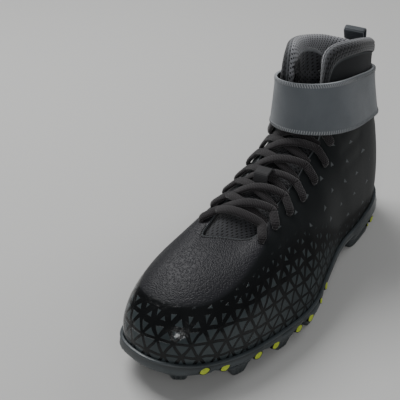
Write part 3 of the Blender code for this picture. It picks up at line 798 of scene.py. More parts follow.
@dataclass(frozen=True)
class SyntheticFinish:
    """Coated synthetic: satin quarters, a grained vamp and a glossy toe with raised facets."""

    quarter: Colour = linear(24, 27, 28)
    vamp: Colour = linear(35, 35, 39)
    toe: Colour = linear(7, 8, 9)
    facet: Colour = linear(56, 63, 65)
    second_facet: Colour = linear(46, 52, 54)
    speck: Colour = linear(80, 84, 86)
    # pale grey painted highlight along the top of the wall at the topline
    cut_edge: Colour = linear(92, 96, 98)
    panel: Colour = linear(42, 43, 45)
    # near-black painted shade inside the eyelets
    hole: Colour = linear(5, 5, 6)
    cell: float = 12.0

    def material(self, name: str) -> Material:
        """The upper's material. Its marks come from the upper's mesh.

        Args:
            name: its name.

        Returns:
            The material.
        """
        graph = Graph(name)
        place = graph.place()
        girth, height = graph.surface()
        bend = graph.noise(place, 55.0, 1.0) - 0.5
        other = graph.noise(place, 71.0, 1.0) - 0.5
        x = girth * 1000.0 + bend * 5.0
        y = height * 1000.0 + other * 5.0
        tall = self.cell * math.sqrt(3) / 2
        lines = (
            y / tall,
            (x * (math.sqrt(3) / 2) + y * 0.5) / tall,
            (x * (math.sqrt(3) / 2) - y * 0.5) / tall,
        )
        gaps = [0.5 - abs(line.fraction() - 0.5) for line in lines]
        depth = gaps[0].least(gaps[1]).least(gaps[2]) * tall
        cell = graph.vector(*(line.floor() for line in lines))
        chance = graph.node("ShaderNodeTexWhiteNoise", {"noise_dimensions": "3D"}, {0: cell})
        groove = graph.mark("groove")
        spread = graph.mark("spread")
        edge = groove + (chance - 0.5) * spread
        raised = depth.step(edge - 0.16, edge + 0.16) * graph.mark("facets")
        gloss = graph.mark("gloss")
        grain = graph.mark("grain")
        mottle = graph.noise(place, 26.0, 4.0)
        far = graph.mark("sparse")
        lone = self._triangles(graph, x * 0.65, y, 17.0, 17.0, 1.0) * far.step(0.75, 0.95)
        nap = self._triangles(graph, x * 1.3, y * 0.6, 5.0, 4.5, 0.9) * graph.mark("nap")
        base = graph.blend(gloss.most(graph.mark("band")), self.quarter, self.toe)
        base = graph.blend(grain, base, self.vamp)
        base = graph.blend(graph.mark("panel"), base, self.panel)
        shade = graph.blend(mottle.step(0.3, 0.7) * 0.35, base, (0.012, 0.013, 0.014))
        tone = graph.blend(chance, self.facet, self.second_facet)
        painted = graph.blend(raised * (1.0 - far), shade, tone)
        painted = graph.blend(lone.most(nap * 0.32), painted, self.speck)
        # painted highlight: the top of the wall at the topline is lightened
        painted = graph.blend(graph.mark("cut_edge"), painted, self.cut_edge)
        # painted shade: a near-black disc inside each eyelet
        pit = 1.0 - graph.mark("hole").step(2.3, 2.9)
        painted = graph.blend(pit, painted, self.hole)
        fine = graph.cells(place, 900.0)
        coarse = graph.noise(place, 520.0, 5.0)
        leather = (fine.step(0.0, 0.7) * 0.6 + coarse * 0.7) * grain
        film = graph.noise(place, 230.0, 4.0) * gloss * 2.2
        cloth = graph.noise(place, 1500.0, 2.0) * (1.0 - gloss) * 0.25
        normal = graph.bump(leather, 0.33 * MM)
        normal = graph.bump(film + cloth, 0.25 * MM, normal)
        normal = graph.bump(raised.most(lone), 0.35 * MM, normal)
        rough = 0.56 - grain * 0.10 - gloss * 0.43 + raised * (1.0 - gloss) * 0.10
        rough = rough + (mottle - 0.5) * 0.10
        rough = rough + graph.mark("panel") * 0.12 + graph.mark("band") * (1.0 - raised) * 0.12
        return graph.finish(
            {"Base Color": painted, "Roughness": rough, "Normal": normal, "Coat Weight": gloss * 0.12},
            {"Coat Roughness": 0.12, "Specular IOR Level": 0.22},
        )

    def _triangles(
        self, graph: Graph, x: Value, y: Value, wide: float, tall: float, size: float
    ) -> Value:
        """Separate small triangles on a staggered lattice.

        Args:
            graph: the material they belong to.
            x: distance round the upper, in millimetres.
            y: distance up the upper, in millimetres.
            wide: spacing along a row.
            tall: spacing between rows.
            size: distance from a triangle's middle to its sides.

        Returns:
            1 on the triangles and 0 between them.
        """
        row = y / tall
        line = row.floor()
        column = x / wide + line * 0.5
        spot = graph.vector(column.floor(), line)
        jitter = graph.node("ShaderNodeTexWhiteNoise", {"noise_dimensions": "2D"}, {0: spot}) - 0.5
        across = (column.fraction() - 0.5 + jitter * 0.3) * wide
        up = (row.fraction() - 0.5 - jitter * 0.25) * tall
        reach = (abs(across) * 0.866 + up * 0.5).most(up * -1.0)
        return 1.0 - reach.step(size - 0.15, size + 0.25)


@dataclass(frozen=True)
class MouldedFinish:
    """Moulded sole plastic with a slight satin mottle."""

    face: Colour = linear(60, 66, 69)
    # darker tone for the random cloud, and painted shade on the parts marked low
    deep: Colour = linear(34, 39, 41)
    recess: Colour = linear(10, 12, 12)

    def material(self, name: str) -> Material:
        """The outsole's material.

        Args:
            name: its name.

        Returns:
            The material.
        """
        graph = Graph(name)
        place = graph.place()
        cloud = graph.noise(place, 40.0, 4.0)
        fine = graph.noise(place, 1100.0, 3.0)
        colour = graph.blend(cloud.step(0.35, 0.7) * 0.45, self.face, self.deep)
        # painted shade: the parts marked low are darkened
        colour = graph.blend(graph.mark("low"), colour, self.deep)
        colour = graph.blend(graph.mark("recess"), colour, self.recess)
        rough = 0.36 + (cloud - 0.5) * 0.25 + fine * 0.06
        normal = graph.bump(fine, 0.06 * MM)
        normal = graph.bump(graph.noise(place, 150.0, 2.0), 0.18 * MM, normal)
        varying = {"Base Color": colour, "Roughness": rough, "Normal": normal}
        return graph.finish(varying, {"Specular IOR Level": 0.5})


@dataclass(frozen=True)
class AccentFinish:
    """The small bright inserts in the sole's side."""

    face: Colour = linear(172, 188, 52)
    edge: Colour = linear(116, 134, 30)

    def material(self, name: str) -> Material:
        """The inserts' material.

        Args:
            name: its name.

        Returns:
            The material.
        """
        graph = Graph(name)
        cloud = graph.noise(graph.place(), 500.0, 3.0)
        colour = graph.blend(cloud.step(0.3, 0.8) * 0.5, self.face, self.edge)
        normal = graph.bump(cloud, 0.08 * MM)
        rough = 0.38 + cloud * 0.1
        return graph.finish({"Base Color": colour, "Roughness": rough, "Normal": normal}, {})


@dataclass(frozen=True)
class KnitFinish:
    """Knitted spacer mesh with a regular field of small holes."""

    yarn: Colour
    # near-black: painted shade in the open holes, also used for the random wear and the seam lines
    gap: Colour
    second: Colour
    pitch: float = 2.6 * MM
    depth: float = 0.35 * MM
    sheen: float = 0.25
    # pale colour of a painted highlight along an edge
    trim: Colour = linear(112, 114, 117)
    planar: bool = False

    def material(self, name: str) -> Material:
        """The mesh's material. The mark called face chooses the second yarn, and trim a painted
        highlight along an edge.

        Args:
            name: its name.

        Returns:
            The material.
        """
        graph = Graph(name)
        u, v = graph.plan() if self.planar else graph.surface()
        turn = 2 * math.pi / self.pitch
        down = (u * turn * 0.71).sine()
        up = (v * turn * 0.71).sine()
        open_hole = (down * up).step(0.10, 0.70)
        fuzz = graph.noise(graph.place(), 1600.0, 3.0)
        wear = graph.noise(graph.place(), 35.0, 3.0)
        yarn = graph.blend(graph.mark("face"), self.yarn, self.second)
        yarn = graph.blend(wear.step(0.35, 0.75) * 0.3, yarn, self.gap)
        # painted shade: the open holes are painted near-black
        colour = graph.blend(open_hole * (1.0 - graph.mark("trim")), yarn, self.gap)
        colour = graph.blend(graph.mark("seam"), colour, self.gap)
        # painted highlight along the marked edge
        colour = graph.blend(graph.mark("trim"), colour, self.trim)
        height = (1.0 - open_hole) * 0.8 + fuzz * 0.3
        normal = graph.bump(height, self.depth)
        return graph.finish(
            {"Base Color": colour, "Roughness": 0.72 + fuzz * 0.2, "Normal": normal},
            {"Sheen Weight": self.sheen, "Sheen Roughness": 0.5, "Specular IOR Level": 0.25},
        )


@dataclass(frozen=True)
class WebbingFinish:
    """Coated or ribbed webbing whose ribs run across its length."""

    face: Colour
    # darker tone for the random wave, and painted shade between the ribs
    deep: Colour
    rib: float
    rib_depth: float
    rough: float = 0.5
    # pale colour of a painted highlight along the edges
    trim: Colour = linear(120, 124, 127)

    def material(self, name: str) -> Material:
        """The webbing's material. The mark called trim paints a pale highlight along its edges.

        Args:
            name: its name.

        Returns:
            The material.
        """
        graph = Graph(name)
        place = graph.place()
        u, _ = graph.surface()
        ribs = (u * (2 * math.pi / self.rib)).sine() * 0.5 + 0.5
        wave = graph.noise(place, 60.0, 3.0)
        fine = graph.noise(place, 1300.0, 3.0)
        colour = graph.blend(wave.step(0.3, 0.75) * 0.4, self.face, self.deep)
        # painted shade: the valleys between the ribs are darkened
        colour = graph.blend((1.0 - ribs) * 0.25, colour, self.deep)
        # painted highlight along the marked edges
        colour = graph.blend(graph.mark("trim"), colour, self.trim)
        normal = graph.bump(ribs, self.rib_depth)
        normal = graph.bump(fine, 0.10 * MM, normal)
        rough = self.rough + (fine - 0.5) * 0.15 + (wave - 0.5) * 0.1
        return graph.finish(
            {"Base Color": colour, "Roughness": rough, "Normal": normal},
            {"Sheen Weight": 0.1, "Specular IOR Level": 0.35},
        )


@dataclass(frozen=True)
class CordFinish:
    """Woven oval cord: fine ribs across it and a slanted plait over them."""

    face: Colour = linear(50, 47, 49)
    # darker tone at random, and painted shade in the weave's hollows
    deep: Colour = linear(12, 11, 12)
    pitch: float = 1.15 * MM

    def material(self, name: str) -> Material:
        """The cord's material.

        Args:
            name: its name.

        Returns:
            The material.
        """
        graph = Graph(name)
        u, v = graph.surface()
        ribs = (u * (2 * math.pi / self.pitch)).sine()
        plait = (u * (2 * math.pi / (2 * self.pitch)) + v * (2 * math.pi * 9)).sine()
        height = (ribs * 0.32 + plait * 0.18) + 0.5
        fuzz = graph.noise(graph.place(), 1800.0, 3.0)
        tone = graph.noise(graph.place(), 90.0, 2.0)
        # painted shade: the low parts of the ribs and plait are darkened
        colour = graph.blend(height.step(0.2, 0.75), self.deep, self.face)
        colour = graph.blend(tone.step(0.3, 0.8) * 0.25, colour, self.deep)
        normal = graph.bump(height + fuzz * 0.25, 0.30 * MM)
        return graph.finish(
            {"Base Color": colour, "Roughness": 0.70 + fuzz * 0.15, "Normal": normal},
            {"Sheen Weight": 0.2, "Sheen Roughness": 0.45, "Specular IOR Level": 0.25},
        )


@dataclass(frozen=True)
class ThreadFinish:
    """Sewing thread."""

    face: Colour = linear(84, 86, 90)

    def material(self, name: str) -> Material:
        """The thread's material.

        Args:
            name: its name.

        Returns:
            The material.
        """
        graph = Graph(name)
        u, _ = graph.surface()
        twist = (u * (2 * math.pi / (0.5 * MM))).sine() * 0.5 + 0.5
        colour = graph.blend(twist * 0.6, self.face, linear(30, 31, 33))
        varying = {"Base Color": colour, "Normal": graph.bump(twist, 0.05 * MM)}
        return graph.finish(varying, {"Roughness": 0.6})


class BandTop(NamedTuple):
    """Height in millimetres of the faceted band, at a number of stations from the toe."""

    station: float
    height: float


class Line(NamedTuple):
    """A soft trough between two places on the upper, by station and level, or a ridge if negative."""

    start: tuple[float, float]
    end: tuple[float, float]
    width: float
    depth: float


@dataclass
class Lacing:
    """Sizes that the eyelets, the laces and the keeper share."""

    last: Last
    first: float = 2.45
    final: float = 6.35
    rows: int = 7
    inset: float = 12.5 * MM

    def station(self, row: float, side: int) -> float:
        """Station of a row of eyelets, counted from 0 at the front. Side 1 is lateral, -1 medial."""
        station = self.first + (self.final - self.first) * row / (self.rows - 1)
        return station if side > 0 else STATIONS - station

    def eyelets(self) -> Array:
        """Centres of all the eyelets on the outer surface."""
        stations = np.array([self.station(row, side) for row in range(self.rows) for side in (1, -1)])
        return self.last.skin(stations, self.last.inset_level(stations, self.inset))


@dataclass
class Upper:
    """The hollow shell, with its creases, facets, grained vamp and dented eyelets."""

    last: Last
    lacing: Lacing
    ribs: int = 456
    levels: int = 88
    inner_levels: int = 14
    eyelet_dent: float = 1.1 * MM
    eyelet_reach: float = 4.2
    lip_bulge: float = 0.32
    lip_shares: tuple[float, ...] = (0.18, 0.5, 0.82)
    no_hole: float = 99.0
    least_groove: float = 1.0
    heel_groove: float = 1.1
    speck_groove: float = 2.05
    vamp_middle: tuple[float, float] = (-0.012, -0.072)
    vamp_half: tuple[float, float] = (0.039, 0.056)
    vamp_square: float = 2.4
    band: tuple[BandTop, ...] = (
        BandTop(0, 40), BandTop(1, 44), BandTop(2, 54), BandTop(3, 62), BandTop(4, 60),
        BandTop(5, 44), BandTop(5.8, 24), BandTop(12, 12),
    )
    finish: SyntheticFinish = SyntheticFinish()
    creases: tuple[Line, ...] = (
        Line((6.9, 0.60), (8.2, 0.53), 4.0 * MM, 0.45 * MM),
        Line((6.7, 0.50), (7.9, 0.44), 4.5 * MM, 0.35 * MM),
        Line((7.2, 0.69), (8.8, 0.64), 3.5 * MM, 0.4 * MM),
        Line((9.5, 0.55), (11.2, 0.52), 5.0 * MM, 0.35 * MM),
        Line((3.1, 0.46), (3.5, 0.72), 4.0 * MM, 0.45 * MM),
        Line((3.9, 0.40), (4.2, 0.66), 4.5 * MM, 0.40 * MM),
        Line((17.1, 0.60), (15.8, 0.53), 4.0 * MM, 0.9 * MM),
        Line((17.3, 0.48), (16.1, 0.42), 4.5 * MM, 0.8 * MM),
        Line((20.9, 0.46), (20.5, 0.72), 4.0 * MM, 0.45 * MM),
        Line((20.1, 0.40), (19.8, 0.66), 4.5 * MM, 0.40 * MM),
    )

    def _relief(self, points: Array) -> Array:
        """The creases of the outer surface.

        Args:
            points: ribs by columns of points.

        Returns:
            How far each point moves in.
        """
        depth = np.zeros(points.shape[:2])
        for line in self.creases:
            start, end = (self.last.skin(np.array(s), np.array(level)) for s, level in line[:2])
            way = end - start
            share = np.clip(((points - start) @ way) / (way @ way), 0.0, 1.0)
            gap = np.linalg.norm(points - start - share[..., None] * way, axis=-1)
            depth += line.depth * np.exp(-((gap / line.width) ** 2))
        return depth

    def _marks(self, stations: Array, levels: Array, points: Array, height: Array) -> dict[str, Array]:
        """The values that the finish reads on the outer surface.

        Args:
            stations: station of each rib.
            levels: level of each column.
            points: ribs by columns of points.
            height: distance of each point from the feather line.

        Returns:
            The marks by name.
        """
        toe_way = from_toe(stations)[:, None]
        lateral = stations[:, None] <= HEEL
        up = height * 1000.0
        share = up / np.interp(toe_way, *zip(*self.band))
        full = self.finish.cell * math.sqrt(3) / 6
        least = self.least_groove + self.heel_groove * ramp(toe_way, 5.0, 1.5)
        groove = least + (full - least) * ramp(share, 0.40, 0.80) * 0.86
        far = ramp(share, 1.0, 0.12)
        leather = self._vamp(points) * ramp(share, 0.86, 0.16)
        keep = 1.0 - ramp(leather, 0.05, 0.25)
        scattered = far * np.where(lateral, 1.0, 0.4) * (1 - ramp(levels, 0.80, 0.08))
        gloss = (1 - ramp(toe_way, 1.6, 2.6)) * (1 - ramp(share, 0.95, 0.5))
        centres = self.lacing.eyelets()
        holes = np.min(np.linalg.norm(points[:, :, None] - centres, axis=-1), axis=-1) * 1000.0
        marks = {
            "groove": groove * (1 - far) + self.speck_groove * far,
            "spread": 0.55 * ramp(share, 0.35, 0.4) * (1 - far),
            "facets": keep * (1.0 - far) * (1 - ramp(levels, 0.86, 0.08)),
            "sparse": scattered * keep * (1 - ramp(toe_way, 8.2, 1.2)),
            "nap": ramp(toe_way, 8.4, 1.4) * ramp(up, 12, 12) * (1 - ramp(up, 70, 25)),
            "gloss": gloss * (1 - leather),
            "grain": leather,
            "band": 1 - ramp(share, 0.85, 0.35),
            "panel": ramp(toe_way, 6.5, 1.2) * ramp(levels, 0.80, 0.05),
            "hole": holes,
            "cut_edge": np.zeros(1),
        }
        return {name: np.broadcast_to(value, points.shape[:2]) for name, value in marks.items()}

    def _vamp(self, points: Array) -> Array:
        """The grained vamp between the toe and the throat.

        Args:
            points: ribs by columns of points.

        Returns:
            1 on the vamp and 0 off it.
        """
        x, y = (points[..., axis] - self.last.shift[axis] for axis in (0, 1))
        across = (x - self.vamp_middle[0]) / self.vamp_half[0]
        along = (y - self.vamp_middle[1]) / self.vamp_half[1]
        inside = 1.0 - (np.abs(across) ** self.vamp_square + np.abs(along) ** self.vamp_square)
        return ramp(inside, -0.10, 0.20) * (y < 0.0)

    def build(self) -> Piece:
        """Makes the shell.

        Returns:
            The shell.
        """
        last = self.last
        stations = HEEL + np.arange(self.ribs + 1) * STATIONS / self.ribs
        round_ribs = stations[:-1] % STATIONS
        levels = np.linspace(0.0, 1.0, self.levels + 1)
        grid = np.meshgrid(levels, round_ribs)
        outer = last.skin(grid[1], grid[0])
        marks = self._marks(round_ribs, levels, outer, lengths_across(outer))
        dent = self.eyelet_dent * (1 - smooth_step(marks["hole"] / self.eyelet_reach))
        dented = outer - last.normal(grid[1], grid[0]) * (self._relief(outer) + dent)[..., None]
        top = last.skin(round_ribs, 1.0)
        inward = -last.normal(round_ribs, 1.0)
        along = last.edge_direction(round_ribs)
        lip = [
            top + inward * last.wall * share
            + along * last.wall * self.lip_bulge * math.sin(math.pi * share)
            for share in self.lip_shares
        ]
        inner_grid = np.meshgrid(np.linspace(1.0, 0.0, self.inner_levels), round_ribs)
        inner = last.layer(inner_grid[1], inner_grid[0], -last.wall)
        points = np.concatenate([dented, np.stack(lip, axis=1), inner], axis=1)
        extra = points.shape[1] - outer.shape[1]
        # the wall's top carries the painted highlight at full strength
        past_edge = {"cut_edge": (0.0, 1.0), "hole": (self.no_hole, self.no_hole)}
        for name, value in marks.items():
            inside, on_lip = past_edge.get(name, (0.0, 0.0))
            tail = np.full((self.ribs, extra), inside)
            tail[:, :len(lip)] = on_lip
            marks[name] = np.concatenate([value, tail], axis=1)
        # the topline's outer edge carries the painted highlight at 0.6
        marks["cut_edge"][:, self.levels] = 0.6
        u = lengths_along(last.skin(stations % STATIONS, 0.15))
        v = lengths_across(points)
        v = np.concatenate([v, v[:, -1:] + last.wall], axis=1)
        v = np.concatenate([v, v[:1]], axis=0)
        shell = lattice(points, u, v, wrap_rows=True, wrap_columns=True, marks=marks)
        coated = self.finish.material("upper_synthetic")
        return assemble("upper_shell", [shell], coated, "upper", "upper")


class StudPlace(NamedTuple):
    """A stud on the edge: its station, how far in it stands, its size, and how far the side swells.

    The side keeps standing out for hold stations on either side of the stud's middle.
    """

    station: float
    inset: float = 0.0
    length: float = 18.0 * MM
    taper: float = 0.56
    hold: float = 0.0


class InsertPlace(NamedTuple):
    """A bright insert: its station, its height over the plate's underside and its size."""

    station: float
    rise: float
    length: float = 7.0 * MM
    height: float = 4.2 * MM


@dataclass
class Outsole:
    """The moulded plate with its rim, fluted studs and bright inserts."""

    last: Last
    ribs: int = 576
    rim_thickness: float = 2.2 * MM
    rim_round: float = 0.9 * MM
    side_step: float = 0.7 * MM
    swell: float = 1.2 * MM
    chamfer: float = 1.8 * MM
    heel_flare: float = 1.9 * MM
    flare_station: float = 9.3
    flare_reach: float = 0.9
    side_flute: float = 0.7 * MM
    flute_pitch: float = 3.4 * MM
    notch_depth: float = 1.3 * MM
    notch_reach: float = 0.06
    inset: float = 10.0 * MM
    stud_depth: float = 14.0 * MM
    stud_flush: float = 2.6 * MM
    stud_reach: float = 0.42
    stud_sides: int = 96
    stud_rows: int = 26
    stud_top: float = 1.16
    stud_flutes: float = 1.1 * MM
    recess_size: float = 1.22
    recess_depth: float = 0.25 * MM
    insert_on_stud: float = 2.9 * MM
    insert_lean: float = 0.32
    insert_slant: float = 0.12
    insert_sides: int = 24
    centre_taper: float = 0.56
    centre_width: float = 13.0 * MM
    finish: MouldedFinish = MouldedFinish()
    accent: AccentFinish = AccentFinish()
    studs: tuple[StudPlace, ...] = (
        StudPlace(0.75, 6.5 * MM), StudPlace(2.17), StudPlace(3.22), StudPlace(4.10),
        StudPlace(7.81, 0.0, 43.0 * MM, 0.88, 0.5), StudPlace(9.90), StudPlace(14.10),
        StudPlace(16.19, 0.0, 43.0 * MM, 0.88, 0.5), StudPlace(19.90), StudPlace(20.78),
        StudPlace(21.83), StudPlace(23.10, 6.5 * MM),
    )
    centre_studs: tuple[tuple[float, float], ...] = ((0.84, -0.20), (0.735, 0.0), (0.63, 0.06))
    notches: tuple[float, ...] = (1.57, 2.70, 3.70, 4.66, 19.34, 20.30, 21.30, 22.43)
    inserts: tuple[InsertPlace, ...] = (
        InsertPlace(1.34, 5.0 * MM), InsertPlace(1.78, 3.8 * MM), InsertPlace(2.52, 2.2 * MM),
        InsertPlace(2.94, 1.8 * MM), InsertPlace(3.54, 1.8 * MM), InsertPlace(3.88, 2.6 * MM),
        InsertPlace(4.34, 5.0 * MM, 4.6 * MM, 3.2 * MM),
        InsertPlace(4.78, 5.0 * MM, 7.0 * MM, 3.6 * MM),
        InsertPlace(8.30, -3.2 * MM, 2.6 * MM, 1.8 * MM),
        InsertPlace(8.66, -1.4 * MM, 8.5 * MM, 2.8 * MM),
    )

    def _swell(self, station: Array) -> Array:
        """How far the side stands out beside the nearest stud."""
        gaps = [station_gap(station, stud.station) - stud.hold for stud in self.studs]
        return self.swell * smooth_step(1.0 - np.min(gaps, axis=0) / self.stud_reach)

    def _flare(self, station: Array) -> Array:
        """How much further the side stands out at the back of the heel."""
        gap = (from_toe(station) - self.flare_station) / self.flare_reach
        return self.heel_flare * np.exp(-(gap**2))

    def _plate(self) -> Patch:
        """The plate and its rim.

        Returns:
            The patch.
        """
        last = self.last
        station = np.arange(self.ribs) * STATIONS / self.ribs
        along = last.along_of(last.outline(station, 0.0))
        bottom, floor = last.bottom(along), last.floor(along)
        rim = last.rim(station)
        top_level = last.level_at(station, floor + last.clearance + rim)
        travelled = lengths_along(last.outline(station, 0.0))
        stud_gaps = [station_gap(station, stud.station) for stud in self.studs if not stud.hold]
        beside = smooth_step(1.0 - np.min(stud_gaps, axis=0) / (0.8 * self.stud_reach))
        wave = 0.5 + 0.5 * np.cos(travelled * (2 * math.pi / self.flute_pitch))
        flute = self.side_flute * beside * wave
        cuts = [station_gap(station, notch) for notch in self.notches]
        notch = self.notch_depth * np.exp(-((np.min(cuts, axis=0) / self.notch_reach) ** 2))
        swell = self._swell(station) + self._flare(station) - notch
        rim_out = last.clearance + self.rim_thickness
        under = last.outline(station, -self.inset)
        under_along = last.along_of(under)

        def at(points: Array, height: Array) -> Array:
            """Points brought to a height."""
            moved = points.copy()
            moved[:, 2] = height
            return moved

        def wall(reach: float, level: Array = top_level) -> Array:
            """Points at a distance from the upper's outer surface."""
            return last.layer(station, level, reach)

        def edge(reach: Array) -> Array:
            """Points at a distance from the feather line, in plan."""
            return last.outline(station, reach)

        side = self.rim_thickness + swell
        top = floor + rim
        turn = self.rim_round
        crest = at(wall(rim_out), top - turn)
        belt = at(edge(side + self.side_step), floor)
        rings = [
            at(under, last.bottom(under_along)),
            at(edge(swell - 0.6 * MM), bottom),
            at(edge(swell + 0.3 * MM), bottom + 0.25 * MM),
            at(edge(side - 0.2 * MM - flute), bottom + self.chamfer * 0.8),
            at(edge(side + self.side_step * 0.55 - flute), bottom + self.chamfer * 1.2),
            belt,
            at((belt + crest) / 2, (floor + top - turn - 1.6 * MM) / 2),
            at(wall(rim_out - 0.55 * MM), top - turn - 1.1 * MM),
            crest,
            at(wall(rim_out - turn * 0.3), top - turn * 0.28),
            at(wall(rim_out - turn), top),
            at(wall(last.clearance), top),
            wall(last.clearance, top_level / 2),
            at(wall(last.clearance, 0.0), floor),
            at(under, last.floor(under_along)),
        ]
        points = np.stack(rings, axis=1)
        # painted shade: the underside, the bottom edge and the groove under the rim's crest are marked
        # low
        low = np.zeros(points.shape[:2])
        low[:, [0, 1, 2, 7]] = 1.0
        u = np.append(station, STATIONS) * 0.03
        patch = lattice(points, u, np.arange(len(rings)) * 0.002, wrap_rows=True, marks={"low": low})
        count = self.ribs
        for column in (0, len(rings) - 1):
            ring = [row * len(rings) + column for row in range(count)]
            for index in range(count // 2):
                opposite = (ring[-(index + 1) % count], ring[-index % count])
                patch.caps.append(tuple(dict.fromkeys((ring[index], ring[index + 1], *opposite))))
        return patch

    def _stud(
        self, foot: Array, forward: Array, length: float, depth: float, taper: float, flutes: float
    ) -> Patch:
        """One tapered stud.

        Args:
            foot: centre of its tip.
            forward: the way its length points.
            length: its length at the plate.
            depth: its depth at the plate.
            taper: size of its tip, as a share of its root.
            flutes: depth of the flutes on its outer face.

        Returns:
            The patch.
        """
        outward = np.array([forward[1], -forward[0], 0.0])
        count = self.stud_sides
        angles = np.linspace(0.0, 2 * np.pi, count, endpoint=False)
        across, over = rounded(angles, 0.5)
        facing = np.maximum(np.sin(angles), 0.0) ** 2
        tall = self.last.stud_height
        long_one = length > 2 * depth
        rows = [
            foot
            + forward * (across * length / 2 * taper * 0.6)[:, None]
            + outward * (over * depth / 2 * taper * 0.6)[:, None]
        ]
        # painted shade: the stud is marked darker towards its tip on the ground
        dark = [1.0]
        for share in np.linspace(0.0, self.stud_top, self.stud_rows):
            scale = taper + (1 - taper) * min(share, 1.0) + 0.06 * ramp(share, 0.82, 0.2)
            blunt = 0.5 * MM * max(0.0, 1.0 - share / 0.06)
            inside = ramp(share, 0.0, 0.12) * smooth_step((self.stud_top - share) / 0.12)
            if long_one:
                rise = share - 0.30 - 0.42 * (across * 0.5 + 0.5) ** 1.4
                cut = np.exp(-((rise / 0.075) ** 2)) + np.exp(-(((rise - 0.22) / 0.06) ** 2))
                wave = flutes * inside * cut * facing * (across < 0.55)
            else:
                wave = flutes * inside * (0.5 + 0.5 * np.cos(across * 4.1 * math.pi)) ** 1.5 * facing
            ring = forward * (across * (length / 2 * scale - blunt))[:, None]
            ring = ring + outward * (over * (depth / 2 * scale - blunt) - wave)[:, None]
            rows.append(foot + ring + np.array([0.0, 0.0, tall * share]))
            dark.append(max(0.15, 0.75 - 0.6 * share))
        points = np.array(rows)
        low = np.ones(points.shape[:2]) * np.array(dark)[:, None]
        v = np.linspace(0.0, 0.05, count + 1)
        u = np.linspace(0.0, 0.012, len(rows))
        return lattice(points, u, v, wrap_columns=True, marks={"low": low}, capped=True)

    def _insert(self, place: InsertPlace, size: float, proud: float) -> Patch:
        """One lozenge in the side of the sole.

        Args:
            place: where it stands and how large it is.
            size: a share of its size.
            proud: how far its face stands out.

        Returns:
            The patch.
        """
        last = self.last
        forward, outward = last.outward(place.station)
        along = last.along_of(last.outline(place.station, 0.0))
        swell, flare = self._swell(place.station), self._flare(place.station)
        out = self.rim_thickness + self.side_step + swell + flare + 0.3 * MM
        if place.rise < 0.0:
            out = self.insert_on_stud + flare
        centre = last.outline(place.station, out)[0]
        centre[2] = last.bottom(along)[0] + place.rise
        lean = unit(np.array([0.0, 0.0, 1.0]) - outward * self.insert_lean)
        face = unit(np.cross(forward, lean))
        if face @ outward < 0:
            face = -face
        angles = np.linspace(0.0, 2 * np.pi, self.insert_sides, endpoint=False)
        long_way, tall_way = rounded(angles, 1.25)[0], rounded(angles, 1.35)[1]
        flat = forward * (long_way * place.length / 2 * size)[:, None]
        flat = flat + lean * (tall_way * place.height / 2 * size)[:, None]
        flat = flat + lean * (long_way * self.insert_slant * place.height)[:, None]
        rows = [
            centre + flat + face * (-2.2 * MM),
            centre + flat + face * (0.1 * MM + proud * 0.5),
            centre + flat * 0.86 + face * (0.25 * MM + proud),
            centre + flat * 0.30 + face * (0.35 * MM + proud),
        ]
        v = np.linspace(0, 0.02, len(angles) + 1)
        return lattice(np.array(rows), np.arange(4) * 0.001, v, wrap_columns=True, capped=True)

    def build(self) -> list[Piece]:
        """Makes the plate with its studs, and the inserts.

        Returns:
            The two pieces.
        """
        last, deep = self.last, self.stud_depth
        patches = [self._plate()]
        for place in self.studs:
            forward, _ = last.outward(place.station)
            out = self._flare(place.station) - place.inset - deep / 2 + self.stud_flush
            foot = last.outline(place.station, out)[0]
            foot[2] = last.plate_rise(last.along_of(foot))
            sizes = (place.length, deep, place.taper, self.stud_flutes)
            patches.append(self._stud(foot, forward, *sizes))
        for along, across in self.centre_studs:
            foot = np.array([across * last.ball_width / 2, (0.5 - along) * last.length, 0.0])
            foot = foot + last.shift
            foot[2] = last.plate_rise(np.array(along))
            forward, width = np.array([0.0, 1.0, 0.0]), self.centre_width
            patches.append(self._stud(foot, forward, width, width, self.centre_taper, 0.0))
        both = [*self.inserts]
        both += [place._replace(station=STATIONS - place.station) for place in self.inserts]
        for place in both:
            recess = self._insert(place, self.recess_size, -self.recess_depth)
            recess.marks = {"recess": np.ones(len(recess.points))}
            patches.append(recess)
        moulded, bright = self.finish.material("sole_moulded"), self.accent.material("insert_bright")
        lozenges = [self._insert(place, 1.0, 0.0) for place in both]
        return [
            assemble("outsole_moulding", patches, moulded, "outsole", "outsole"),
            assemble("outsole_inserts", lozenges, bright, "outsole"),
        ]


